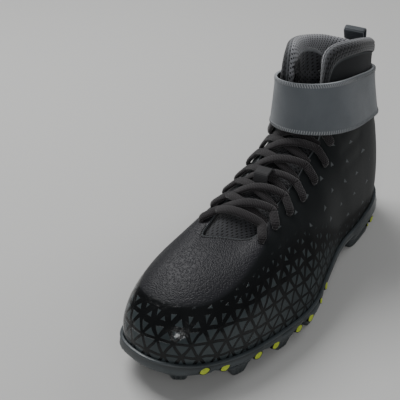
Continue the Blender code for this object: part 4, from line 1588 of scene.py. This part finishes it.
@dataclass
class Collar:
    """The padded lining that rolls over the collar's edge."""

    last: Last
    first: float = 20 / 3
    start: float = 6.2
    full: float = 7.4
    least: float = 0.12
    gap: float = 1.0 * MM
    width: float = 12.0 * MM
    proud: float = 1.4 * MM
    pad: float = 6.0 * MM
    deep: float = 34.0 * MM
    seam_depth: float = 0.5 * MM
    sections: int = 260
    round_count: int = 96
    finish: KnitFinish = KnitFinish(
        yarn=linear(62, 63, 66), gap=linear(14, 14, 15), second=linear(148, 149, 153)
    )

    def share(self, station: Array) -> Array:
        """0 along the throat and 1 round the collar, with a ramp where the cuff begins."""
        return smooth_step((from_toe(station) - self.start) / (self.full - self.start))

    def _sections(self, station: Array) -> Array:
        """The lining's sections: up the inside of the wall, over its edge and down again.

        Args:
            station: place of each section.

        Returns:
            Twelve points of each section, the first axis going round it.
        """
        last = self.last
        share = np.maximum(self.share(station), self.least)
        width, pad = self.width * share, self.pad * share
        normal = last.normal(station, 1.0)
        rib = last.edge_direction(station)
        edge = last.skin(station, 1.0)
        deep = last.inset_level(station, self.deep * share)
        middle = (1.0 + deep) / 2
        outer = -last.wall - self.gap

        def beyond(reach: Array, offset: Array) -> Array:
            """Points past the edge, and out from the wall."""
            return edge + rib * np.asarray(reach)[..., None] + normal * np.asarray(offset)[..., None]

        return np.array([
            last.layer(station, deep, outer),
            last.layer(station, middle, outer),
            beyond(self.gap, outer),
            beyond(self.gap, self.proud * 0.4),
            beyond(self.gap + 0.25 * width, self.proud),
            beyond(self.gap + 0.70 * width, self.proud * 0.5),
            beyond(width, outer * 0.7),
            beyond(width, outer - pad * 0.35),
            beyond(0.65 * width, outer - pad * 0.85),
            beyond(0.0, outer - pad),
            last.layer(station, middle, outer - pad),
            last.layer(station, deep, outer - pad * 0.5),
        ])

    def build(self) -> Piece:
        """Makes the lining.

        Returns:
            The lining.
        """
        station = np.linspace(self.first, STATIONS - self.first, self.sections)
        rounds = resample(self._sections(station), self.round_count, closed=True)
        points = rounds.swapaxes(0, 1)
        turn = np.linspace(0, 12, self.round_count, endpoint=False)
        inside = smooth_step((turn - 6.4) / 0.3)
        # painted highlight along the top of the cuff's roll
        trim = 0.8 * np.exp(-(((turn - 6.05) / 0.22) ** 2))
        seam = np.exp(-(((turn - 4.2) / 0.13) ** 2)) + np.exp(-(((turn - 4.75) / 0.13) ** 2))
        inward = unit(np.roll(points, 3, axis=1) + np.roll(points, -3, axis=1) - 2 * points)
        points = points + inward * (seam * self.seam_depth)[None, :, None]
        grid = np.ones(points.shape[:2])
        u = lengths_along(self.last.skin(station, 1.0))
        v = lengths_along(rounds).mean(axis=1)
        v = np.append(v, v[-1] + 2 * MM)
        marks = {"face": inside * grid, "trim": trim * grid, "seam": seam * 0.8 * grid}
        patch = lattice(points, u, v, wrap_columns=True, marks=marks, capped=True)
        knit = self.finish.material("collar_mesh")
        piece = assemble("collar_padding", [patch], knit, "collar_lining", "collar_lining")
        return piece


@dataclass
class Tongue:
    """The padded tongue under the laces."""

    last: Last
    collar: Collar
    first: float = 1.9
    final: float = 7.8
    step: float = 0.35
    thickness: float = 5.0 * MM
    reach: float = 17.0 * MM
    tuck: float = 10.0 * MM
    wing: float = 9.0 * MM
    wing_least: float = 2.0 * MM
    drop: float = 0.8 * MM
    crown: float = 0.17
    arch_width: float = 0.82
    rows: int = 90
    top_rows: int = 16
    finish: KnitFinish = KnitFinish(
        yarn=linear(46, 47, 50), gap=linear(6, 6, 7), second=linear(46, 47, 50)
    )

    def offset(self, station: Array) -> Array:
        """Where the tongue's face lies.

        Args:
            station: place along the throat.

        Returns:
            Its distance from the upper's outer surface, negative inside.
        """
        share = self.collar.share
        most = np.maximum(np.maximum(share(station - 0.3), share(station + 0.3)), share(station))
        last = self.last
        pad = (self.collar.pad + last.clearance) * most
        return -(last.wall + 2 * last.clearance + pad + self.drop)

    def wing_depth(self, station: Array) -> Array:
        """How far the tongue's wing reaches under the eyestay."""
        return self.wing * (1.0 - self.collar.share(station)) + self.wing_least

    def build(self) -> Piece:
        """Makes the tongue.

        Returns:
            The tongue.
        """
        last = self.last
        inner, edge = 23, 5  # points across the throat and under each eyestay
        wings = np.concatenate([np.linspace(1, 0, edge), np.zeros(inner), np.linspace(0, 1, edge)])
        across = np.linspace(self.first, -self.first, len(wings)) % STATIONS
        depth = self.offset(self.first)
        rows = []
        for tuck in np.linspace(self.tuck, 0.0, 5):
            level = last.inset_level(across, tuck + wings * self.wing_depth(self.first))
            rows.append(last.layer(across, level, depth))
        shares = np.linspace(0.0, 1.0, inner)
        for station in np.linspace(self.first + self.step, self.final, self.rows):
            low, other = self.offset(station), STATIONS - station
            sides = []
            for place in (station, other):
                wing = last.inset_level(place, self.wing_depth(station))
                levels = wing + (1 - wing) * np.linspace(0.0, 1.0, edge + 1)[:edge]
                sides.append(last.layer(place, levels, low))
            middle = last.bridge(station, other, shares, low, self.crown)
            rows.append(np.concatenate([sides[0], middle, sides[1][::-1]]))
        end, before = rows[-1], rows[-6]
        upward = unit((end - before).mean(axis=0))
        centre = end.mean(axis=0)
        columns = len(wings)
        side = np.abs(np.linspace(-1, 1, columns))
        arch = np.maximum((1 - np.minimum(side / self.arch_width, 1.0) ** 2.4) ** (1 / 2.4), 0.08)
        for share in np.linspace(0.0, 1.0, self.top_rows + 1)[1:]:
            narrowed = centre + (end - centre) * (1 - 0.10 * share**2)
            rows.append(narrowed + upward * (self.reach * share * arch)[:, None])
        points = np.array(rows)
        count = len(points)
        near_top = np.clip((np.arange(count) - (count - 3)) / 2.0, 0.0, 1.0)
        taper = np.sqrt(np.clip(1.0 - side**6, 0.0, 1.0))[None, :]
        taper = taper * (1 - 0.75 * near_top[:, None] ** 2)
        thickness = self.thickness * np.maximum(taper, 0.12)
        edge_rows = np.clip((np.arange(count) - (count - 4)) / 1.5, 0.0, 1.0)[:, None]
        # painted highlight along the tongue's top edge
        trim = edge_rows * (1.0 - ramp(side, 0.55, 0.3))[None, :]
        below_top = np.clip((count - 1 - np.arange(count)) / 14.0, 0.0, 1.0)[:, None]
        channels = 0.35 * MM * np.cos(np.linspace(-1, 1, columns) * 9.0)[None, :] * below_top
        normals = unit(np.cross(np.gradient(points, axis=0), np.gradient(points, axis=1)))
        points = points - normals * np.maximum(channels, 0.0)[..., None]
        patch = slab(points, thickness, {"trim": trim * 0.7, "face": np.zeros((count, columns))})
        knit = self.finish.material("tongue_mesh")
        piece = assemble("tongue_padding", [patch], knit, "tongue", "tongue")
        return piece


@dataclass
class Strap:
    """The band round the ankle, with whip stitches along the front of both edges."""

    last: Last
    width: float = 41.0 * MM
    thickness: float = 2.4 * MM
    front_rise: float = 107.0 * MM
    heel_rise: float = 84.0 * MM
    nose: float = 0.062
    splay: float = 0.22
    splay_medial: float = 0.12
    upright: float = 0.97
    gap: float = 0.6 * MM
    side: float = 8.6
    side_count: int = 130
    bow_count: int = 70
    coarse_steps: int = 23
    eased_points: float = 16.0
    easing: int = 60
    stitch_pitch: float = 1.9 * MM
    stitch_slant: float = 0.7 * MM
    stitch_inset: float = 0.045
    stitch_tilt: float = 0.028
    finish: WebbingFinish = WebbingFinish(
        face=linear(94, 99, 104), deep=linear(76, 81, 86), trim=linear(158, 162, 165),
        rib=0.9 * MM, rib_depth=0.05 * MM, rough=0.48,
    )
    thread: ThreadFinish = ThreadFinish(face=linear(168, 171, 174))

    def _low(self, point: Array) -> Array:
        """The strap's lower edge.

        Args:
            point: points beside it.

        Returns:
            Its height there.
        """
        last = self.last
        y = point[..., 1] - last.shift[1]
        x = point[..., 0] - last.shift[0]
        share = np.clip((y / last.length - 0.08) / 0.38, 0.0, 1.0)
        rise = self.front_rise + (self.heel_rise - self.front_rise) * share
        return float(last.floor(np.array(0.2))) + rise + last.lean * x

    def _shaft(self, station: Array, share: float, offset: float) -> Array:
        """Part of the strap beside the ankle.

        Args:
            station: place round the last.
            share: how far up the strap, as a share of its width.
            offset: distance from the upper.

        Returns:
            The points.
        """
        last = self.last
        point = last.skin(station, 0.8)
        for _ in range(4):
            level = last.level_at(station, self._low(point) + share * self.width * self.upright)
            point = last.skin(station, level)
        flat = last.normal(station, level) * np.array([1.0, 1.0, 0.0])
        return point + offset * unit(flat)

    def _lead(self, point: Array, before: Array) -> Array:
        """The handle of the strap's bow over the instep.

        Args:
            point: where the strap leaves the ankle.
            before: a point before that.

        Returns:
            The way from the point to the handle.
        """
        last = self.last
        splay = self.splay if point[0] > last.shift[0] else -self.splay_medial
        way = unit(point - before) + np.array([splay, 0.0, 0.0])
        y = point[1] - last.shift[1]
        handle = (4 * self.nose * last.length - y) / 3
        return way * (handle - y) / way[1]

    def path(self, share: float, offset: float) -> Array:
        """The strap's closed path.

        Args:
            share: how far up the strap, as a share of its width.
            offset: distance from the upper.

        Returns:
            The points of the path.
        """
        ends = (self.side, STATIONS - self.side)
        station = np.linspace(*ends, self.side_count)
        side = self._shaft(station, share, offset)
        jump = 2 * (ends[1] - ends[0]) / self.coarse_steps
        inner = self._shaft(np.array([ends[1] - jump, ends[0] + jump]), share, offset)
        start, end = side[-1], side[0]
        leave, arrive = self._lead(start, inner[0]), self._lead(end, inner[1])
        t = np.linspace(0.0, 1.0, self.bow_count + 2)[1:-1, None]
        bow = bow_between((start, start + leave, end + arrive, end), t)
        path = np.concatenate([side, bow])
        place = np.arange(len(path))
        past = np.minimum(np.abs(place - self.side_count), np.minimum(place, len(path) - place))
        loose = np.where(place >= self.side_count, 1.0, smooth_step(1 - past / self.eased_points))
        return relax(path, self.easing, loose, closed=True)

    def _stitches(self) -> list[Patch]:
        """Slanted whip stitches along both edges, all the way round.

        Returns:
            A patch for each stitch.
        """
        patches = []
        outside = self.gap + self.thickness + 0.25 * MM
        inset, tilt = self.stitch_inset, self.stitch_tilt
        for share, lean in ((inset, tilt), (1 - inset, -tilt)):
            paths = [self.path(share - lean, outside), self.path(share + lean, outside)]
            travelled = lengths_along(paths[0])
            for distance in np.arange(0.0, travelled[-1], self.stitch_pitch):
                places = (distance, min(distance + self.stitch_slant, travelled[-1]))
                ends = np.array([
                    [np.interp(place, travelled, part) for part in path.T]
                    for place, path in zip(places, paths)
                ])
                middle = ends.mean(axis=0)
                from_axis = middle - self.last.shift - np.array([0.0, 0.05, 0.0])
                away = unit(from_axis * np.array([1.0, 1.0, 0.0]))
                path = np.array([ends[0], middle + away * 0.15 * MM, ends[1]])
                patches.append(stitch(path, away, 0.85 * MM, 0.5 * MM))
        return patches

    def build(self) -> list[Piece]:
        """Makes the band and its stitches.

        Returns:
            The two pieces.
        """
        gap, thick = self.gap, self.thickness
        low, high, face = gap + 0.3 * thick, gap + 0.7 * thick, gap + thick
        welt = face + 0.15 * MM
        profile = [
            (0.010, gap), (0.25, gap), (0.50, gap), (0.75, gap), (0.990, gap), (1.0, low), (1.0, high),
            (0.990, face), (0.94, welt), (0.75, face), (0.50, face), (0.25, face), (0.06, welt),
            (0.010, face), (0.0, high), (0.0, low),
        ]
        points = np.stack([self.path(share, offset) for share, offset in profile], axis=1)
        travelled = lengths_along(np.concatenate([points[:, 10], points[:1, 10]]))
        shares = np.array([share for share, _ in profile] + [profile[0][0]])
        # painted highlight on both edges of the band
        trim = np.array([1.0 if share in (0.0, 1.0) else 0.0 for share, _ in profile])
        marks = {"trim": np.ones(points.shape[:2]) * trim}
        patch = lattice(points, travelled, shares * self.width, True, True, marks)
        coated, thread = self.finish.material("strap_coated"), self.thread.material("strap_thread")
        return [
            assemble("ankle_band", [patch], coated, "ankle_strap", "ankle_strap"),
            assemble("ankle_band_stitches", self._stitches(), thread, "ankle_strap"),
        ]


@dataclass
class PullTab:
    """The folded ribbon behind the heel."""

    last: Last
    collar: Collar
    width: float = 17.0 * MM
    sideways: float = 2.5 * MM
    thickness: float = 1.8 * MM
    rise: float = 9.5 * MM
    depth: float = 6.0 * MM
    tail: float = 14.0 * MM
    lift: float = 0.3 * MM
    finish: WebbingFinish = WebbingFinish(
        face=linear(70, 75, 80), deep=linear(30, 33, 37), rib=1.6 * MM, rib_depth=0.12 * MM, rough=0.6
    )

    def build(self) -> Piece:
        """Makes the ribbon.

        Returns:
            The ribbon.
        """
        last = self.last
        edge, normal = last.skin(HEEL, 1.0), last.normal(HEEL, 1.0)
        up = last.edge_direction(HEEL) * self.collar.width
        spare = last.clearance + self.thickness / 2 + self.lift
        top = edge + up + np.array([0.0, 0.0, spare])
        back_gap = self.collar.proud + spare
        low = last.inset_level(HEEL, self.tail - self.collar.width)
        tail = last.layer(HEEL, low, back_gap)
        half = self.depth / 2
        over_cuff = edge + up + normal * back_gap
        crest = np.array([last.shift[0], over_cuff[1] - half, top[2] + self.rise - half])
        path = [top + np.array([0.0, -half * 0.4, 0.0])]
        for turn in range(9):
            angle = math.pi * turn / 8
            path.append(crest + np.array([0.0, -half * math.cos(angle), half * math.sin(angle)]))
        path += [over_cuff, edge + normal * back_gap, tail]
        smooth = resample(np.array(path), 90) - np.array([self.sideways, 0.0, 0.0])
        ahead = unit(np.gradient(smooth, axis=0))
        across = np.tile(np.array([1.0, 0.0, 0.0]), (len(smooth), 1))
        patch = tube(smooth, np.cross(across, ahead), self.width, self.thickness, 24, 9.0)
        ribbed = self.finish.material("ribbon_ribbed")
        return assemble("heel_ribbon", [patch], ribbed, "pull_tab", "pull_tab")


@dataclass
class Laces:
    """The oval cord: a bar across the first row, then a crossing between each row and the next."""

    last: Last
    lacing: Lacing
    tongue: Tongue
    width: float = 6.6 * MM
    thickness: float = 3.5 * MM
    lift: float = 0.8 * MM
    core: float = 2.8 * MM
    rest: float = 0.75 * MM
    slant: float = 0.25
    hump: float = 1.8 * MM
    easing: int = 14
    end_share: float = 0.60
    finish: CordFinish = CordFinish()

    def _over_eyestay(self, station: float, shares: Array) -> Pair:
        """The cord on the eyestay.

        Args:
            station: station of its eyelet.
            shares: shares of the way from the eyelet to the throat.

        Returns:
            Its points and normals.
        """
        last = self.last
        levels = last.inset_level(station, self.lacing.inset * (1 - shares))
        height = self.core / 2 + self.lift
        return last.layer(station, levels, height), last.normal(station, levels)

    def _dive(self, station: float) -> Pair:
        """Where the cord turns down into its eyelet.

        Args:
            station: station of the eyelet.

        Returns:
            Its points and normals.
        """
        last = self.last
        level = last.inset_level(station, self.lacing.inset + np.array([0.6, 0.7, 0.7]) * MM)
        out = last.normal(station, level)
        down = unit(last.skin(station, level - 0.02) - last.skin(station, level))
        return last.layer(station, level, np.array([1.0, -1.2, -3.2]) * MM), out * 0.3 + down

    def _across(
        self, lateral: float, medial: float, shares: Array, heights: Array
    ) -> Pair:
        """The cord over the tongue.

        Args:
            lateral: station where it reaches the lateral side.
            medial: station where it reaches the medial side.
            shares: shares of the way from lateral to medial.
            heights: distance from the upper's surface at each share.

        Returns:
            Its points and normals.
        """
        last = self.last
        points = last.bridge(lateral, medial, shares, heights, self.tongue.crown)
        up = unit(last.normal(lateral, 1.0) + last.normal(medial, 1.0))
        return points, np.tile(up, (len(points), 1))

    def _cord(
        self, parts: Sequence[Pair], count: int, both_ends: bool = False
    ) -> Patch:
        """A cord through the parts of a path, in order, drawn in where it enters its eyelets.

        Args:
            parts: points and normals of each part.
            count: how many points the cord gets.
            both_ends: whether its start enters an eyelet too.

        Returns:
            The patch.
        """
        path = resample(np.concatenate([part[0] for part in parts]), count)
        ups = unit(resample(np.concatenate([part[1] for part in parts]), count))
        path = relax(path, self.easing, np.ones(count))
        ups = unit(relax(ups, 2 * self.easing, np.ones(count)))
        travelled = lengths_along(path)
        to_end = travelled[-1] - travelled
        if both_ends:
            to_end = np.minimum(to_end, travelled)
        narrow = self.end_share + (1 - self.end_share) * ramp(to_end, 2.5 * MM, 4.5 * MM)
        return tube(path, ups, self.width * narrow, self.thickness, 18, 2.3)

    def _bar(self) -> Patch:
        """The first run, straight across from eyelet to eyelet.

        Returns:
            The patch.
        """
        lateral, medial = (self.lacing.station(0, side) for side in (1, -1))
        height = self.core / 2 + self.lift + 0.4 * MM
        shares = np.linspace(0.0, 1.0, 9)
        sides = np.linspace(0.1, 0.75, 4)
        start, end = self._dive(lateral), self._dive(medial)
        first, last = self._over_eyestay(lateral, sides), self._over_eyestay(medial, sides)
        across = self._across(lateral, medial, shares, height)
        flip = [(points[::-1], ups[::-1]) for points, ups in (start, last)]
        return self._cord([flip[0], first, across, flip[1], end], 130, both_ends=True)

    def _arm(self, row: int, side: int, lift: float) -> Patch:
        """One run of a crossing, to the next row's eyelet.

        Args:
            row: the row that it comes from.
            side: the side of the eyelet that it goes to, 1 for lateral.
            lift: how far its middle rises over the other run.

        Returns:
            The patch.
        """
        last = self.last
        low = -last.wall - 2 * last.clearance - self.tongue.drop + self.core / 2 + self.rest
        high = self.core / 2 + self.lift
        far = self.lacing.station(row + 1, side)
        near = self.lacing.station(row + self.slant, -side)
        lateral, medial = (far, near) if side > 0 else (near, far)
        shares = np.linspace(-0.02, 1.0, 10)
        heights = low + (high - low) * smooth_step(shares) + lift * 4 * shares * (1 - shares)
        placed = 1 - shares if side > 0 else shares
        across = self._across(lateral, medial, placed, heights)
        eyestay = self._over_eyestay(far, np.array([0.72, 0.4, 0.1]))
        return self._cord([across, eyestay, self._dive(far)], 96)

    def build(self) -> list[Piece]:
        """Makes the bar and the crossings.

        Returns:
            The bar, then the crossings from the front.
        """
        material = self.finish.material("lace_woven")
        made = [assemble("lace_run_0", [self._bar()], material, "lace", "lace_bar")]
        for row in range(self.lacing.rows - 1):
            runs = [self._arm(row, -1, 0.0), self._arm(row, 1, self.hump)]
            name, node = f"lace_run_{row + 1}", f"lace_crossing_{row + 1}"
            made.append(assemble(name, runs, material, "lace", node))
        return made


@dataclass
class Keeper:
    """The webbing loop on the tongue that holds the lace in the middle."""

    last: Last
    tongue: Tongue
    laces: Laces
    start: float = 3.62
    end: float = 4.38
    width: float = 11.0 * MM
    thickness: float = 1.3 * MM
    steepness: float = 3.2
    steps: int = 60
    easing: int = 24
    stitch_count: int = 6
    stitch_half: float = 0.6 * MM
    finish: WebbingFinish = WebbingFinish(
        face=linear(38, 38, 40), deep=linear(16, 16, 17), rib=1.1 * MM, rib_depth=0.10 * MM, rough=0.7
    )
    thread: ThreadFinish = ThreadFinish()

    def build(self) -> list[Piece]:
        """Makes the loop and the stitches at its lower end.

        Returns:
            The two pieces.
        """
        last, laces, crown = self.last, self.laces, self.tongue.crown
        share = np.linspace(0.0, 1.0, self.steps)
        station = self.start + (self.end - self.start) * share
        other = STATIONS - station
        face = last.bridge(station, other, 0.5, self.tongue.offset(station), crown)
        over = last.bridge(station, other, 0.5, laces.lift + laces.core, crown)
        up = unit(last.normal(station, 1.0) + last.normal(other, 1.0))
        low = face + up * (last.clearance + self.thickness / 2)
        high = over + up * (self.thickness + laces.hump + last.clearance)
        rise = smooth_step(self.steepness * np.minimum(share, 1 - share))[:, None]
        path = relax(low + (high - low) * rise, self.easing, np.ones(self.steps))
        webbing, thread = self.finish.material("loop_webbing"), self.thread.material("loop_thread")
        ribbon = tube(path, up, self.width, self.thickness, 24, 8.0)
        patches = []
        forward = unit(path[0] - path[6])
        half = np.array([self.stitch_half, 0.0, 0.0])
        for across in np.linspace(-4.5, 4.5, self.stitch_count) * MM:
            middle = path[0] + np.array([across, 0.0, 0.0]) - forward * 0.6 * MM
            ends = np.array([middle - half, middle + half])
            ends = ends + up[0] * (self.thickness / 2 + 0.15 * MM)
            patches.append(stitch(ends, up[0], 0.6 * MM, 0.5 * MM))
        return [
            assemble("lace_loop", [ribbon], webbing, "lace_keeper", "lace_keeper"),
            assemble("lace_loop_stitches", patches, thread, "lace_keeper"),
        ]


@dataclass
class Seams:
    """Stitches sewn through the upper round the front of the throat."""

    last: Last
    inset: float = 1.6 * MM
    pitch: float = 2.5 * MM
    length: float = 1.5 * MM
    reach: float = 1.75
    steps: int = 400
    lift: float = 0.12 * MM
    thread: ThreadFinish = ThreadFinish(face=linear(8, 8, 9))

    def build(self) -> Piece:
        """Makes the row of stitches.

        Returns:
            The row as one piece.
        """
        last = self.last
        station = np.linspace(-self.reach, self.reach, self.steps) % STATIONS
        level = last.inset_level(station, self.inset)
        line = last.layer(station, level, self.lift)
        normal = last.normal(station, level)
        travelled = lengths_along(line)
        patches = []
        for start in np.arange(0.0, travelled[-1] - self.length, self.pitch):
            places = np.linspace(start, start + self.length, 3)
            path = np.array([np.interp(places, travelled, part) for part in line.T]).T
            index = int(np.searchsorted(travelled, start))
            patches.append(stitch(path, normal[index], 1.0 * MM, 0.6 * MM))
        return assemble("throat_stitches", patches, self.thread.material("throat_thread"), "upper")


class LightKind(Enum):
    """What a studio light does."""

    KEY = "key"
    FILL = "fill"
    RIM = "rim"
    SPARK = "spark"


class Lamp(NamedTuple):
    """A square light: where it hangs, its side, its power, and whether glossy surfaces mirror it."""

    kind: LightKind
    place: tuple[float, float, float]
    size: float
    power: float
    mirrored: bool


@dataclass
class Studio:
    """Pale floor, soft lights and the camera."""

    eye: tuple[float, float, float] = (0.23832, -0.45686, 0.39611)
    azimuth: float = 0.586555
    elevation: float = 0.561072
    roll: float = -0.0137
    lens: float = 72.54
    frame_width: float = 36.0
    floor_colour: Colour = (0.50, 0.50, 0.49)
    floor_reach: float = 4.0
    sky_colour: Colour = (0.80, 0.82, 0.85)
    sky_power: float = 0.19
    aim: tuple[float, float, float] = (0.0, 0.0, 0.06)
    lights: tuple[Lamp, ...] = (
        Lamp(LightKind.KEY, (-0.75, 0.15, 1.25), 0.8, 21.0, True),
        Lamp(LightKind.FILL, (1.1, -0.9, 0.9), 1.2, 5.5, False),
        Lamp(LightKind.RIM, (0.5, 1.2, 1.0), 0.8, 7.0, False),
        Lamp(LightKind.SPARK, (0.35, -1.0, 0.43), 0.10, 1.8, True),
    )

    def camera(self, shift: Array) -> None:
        """Places the camera as the photograph was taken.

        Args:
            shift: where the shoe stands in the frame.
        """
        az, el = self.azimuth, self.elevation
        back = np.array([math.sin(az) * math.cos(el), -math.cos(az) * math.cos(el), math.sin(el)])
        level = np.array([math.cos(az), math.sin(az), 0.0])
        right = math.cos(self.roll) * level + math.sin(self.roll) * np.cross(back, level)
        up = np.cross(back, right)
        data = bpy.data.cameras.new("camera")
        data.lens = self.lens
        data.sensor_width = self.frame_width
        data.clip_start = 0.01
        camera = link("camera", data)
        turn = Matrix([Vector(right), Vector(up), Vector(back)]).transposed()
        camera.matrix_world = Matrix.Translation(Vector(np.array(self.eye) + shift)) @ turn.to_4x4()
        bpy.context.scene.camera = camera

    def floor(self) -> None:
        """Lays the floor."""
        mesh = bpy.data.meshes.new("floor")
        far = self.floor_reach
        corners = [(-far, -far, 0), (far, -far, 0), (far, far, 0), (-far, far, 0)]
        mesh.from_pydata(corners, [], [(0, 1, 2, 3)])
        paper = {"Base Color": (*self.floor_colour, 1.0), "Roughness": 0.75}
        mesh.materials.append(Graph("floor_paper").finish({}, paper))
        plane = link("floor", mesh)

    def light(self) -> None:
        """Hangs the lights and sets the even light round them."""
        for lamp in self.lights:
            data = bpy.data.lights.new(lamp.kind.value, "AREA")
            data.size = lamp.size
            data.energy = lamp.power
            hung = link(lamp.kind.value, data)
            hung.visible_glossy = lamp.mirrored
            hung.location = lamp.place
            way = Vector(self.aim) - Vector(lamp.place)
            hung.rotation_euler = way.to_track_quat("-Z", "Y").to_euler()
        world = bpy.data.worlds.new("studio")
        world.use_nodes = True
        sky = world.node_tree.nodes["Background"]
        sky.inputs["Color"].default_value = (*self.sky_colour, 1.0)
        sky.inputs["Strength"].default_value = self.sky_power
        bpy.context.scene.world = world


def dress_insole() -> None:
    """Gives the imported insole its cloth."""
    finish = KnitFinish(
        yarn=linear(48, 48, 50), gap=linear(20, 20, 21), second=linear(48, 48, 50), pitch=2.0 * MM,
        planar=True,
    )
    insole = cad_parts["insole"]
    insole.data.materials.clear()
    insole.data.materials.append(finish.material("insole_cloth"))
    log.info("insole: cloth finish")


def main() -> None:
    """Builds the pieces in order and reports each."""
    logging.basicConfig(level=logging.INFO, format="%(name)s: %(message)s")
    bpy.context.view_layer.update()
    last = Last()
    studio = Studio()
    studio.camera(last.shift)
    lacing = Lacing(last)
    Outsole(last).build()
    Upper(last, lacing).build()
    dress_insole()
    collar = Collar(last)
    collar.build()
    tongue = Tongue(last, collar)
    tongue.build()
    Strap(last).build()
    PullTab(last, collar).build()
    laces = Laces(last, lacing, tongue)
    laces.build()
    Keeper(last, tongue, laces).build()
    Seams(last).build()
    studio.floor()
    studio.light()


if __name__ == "__main__":
    main()
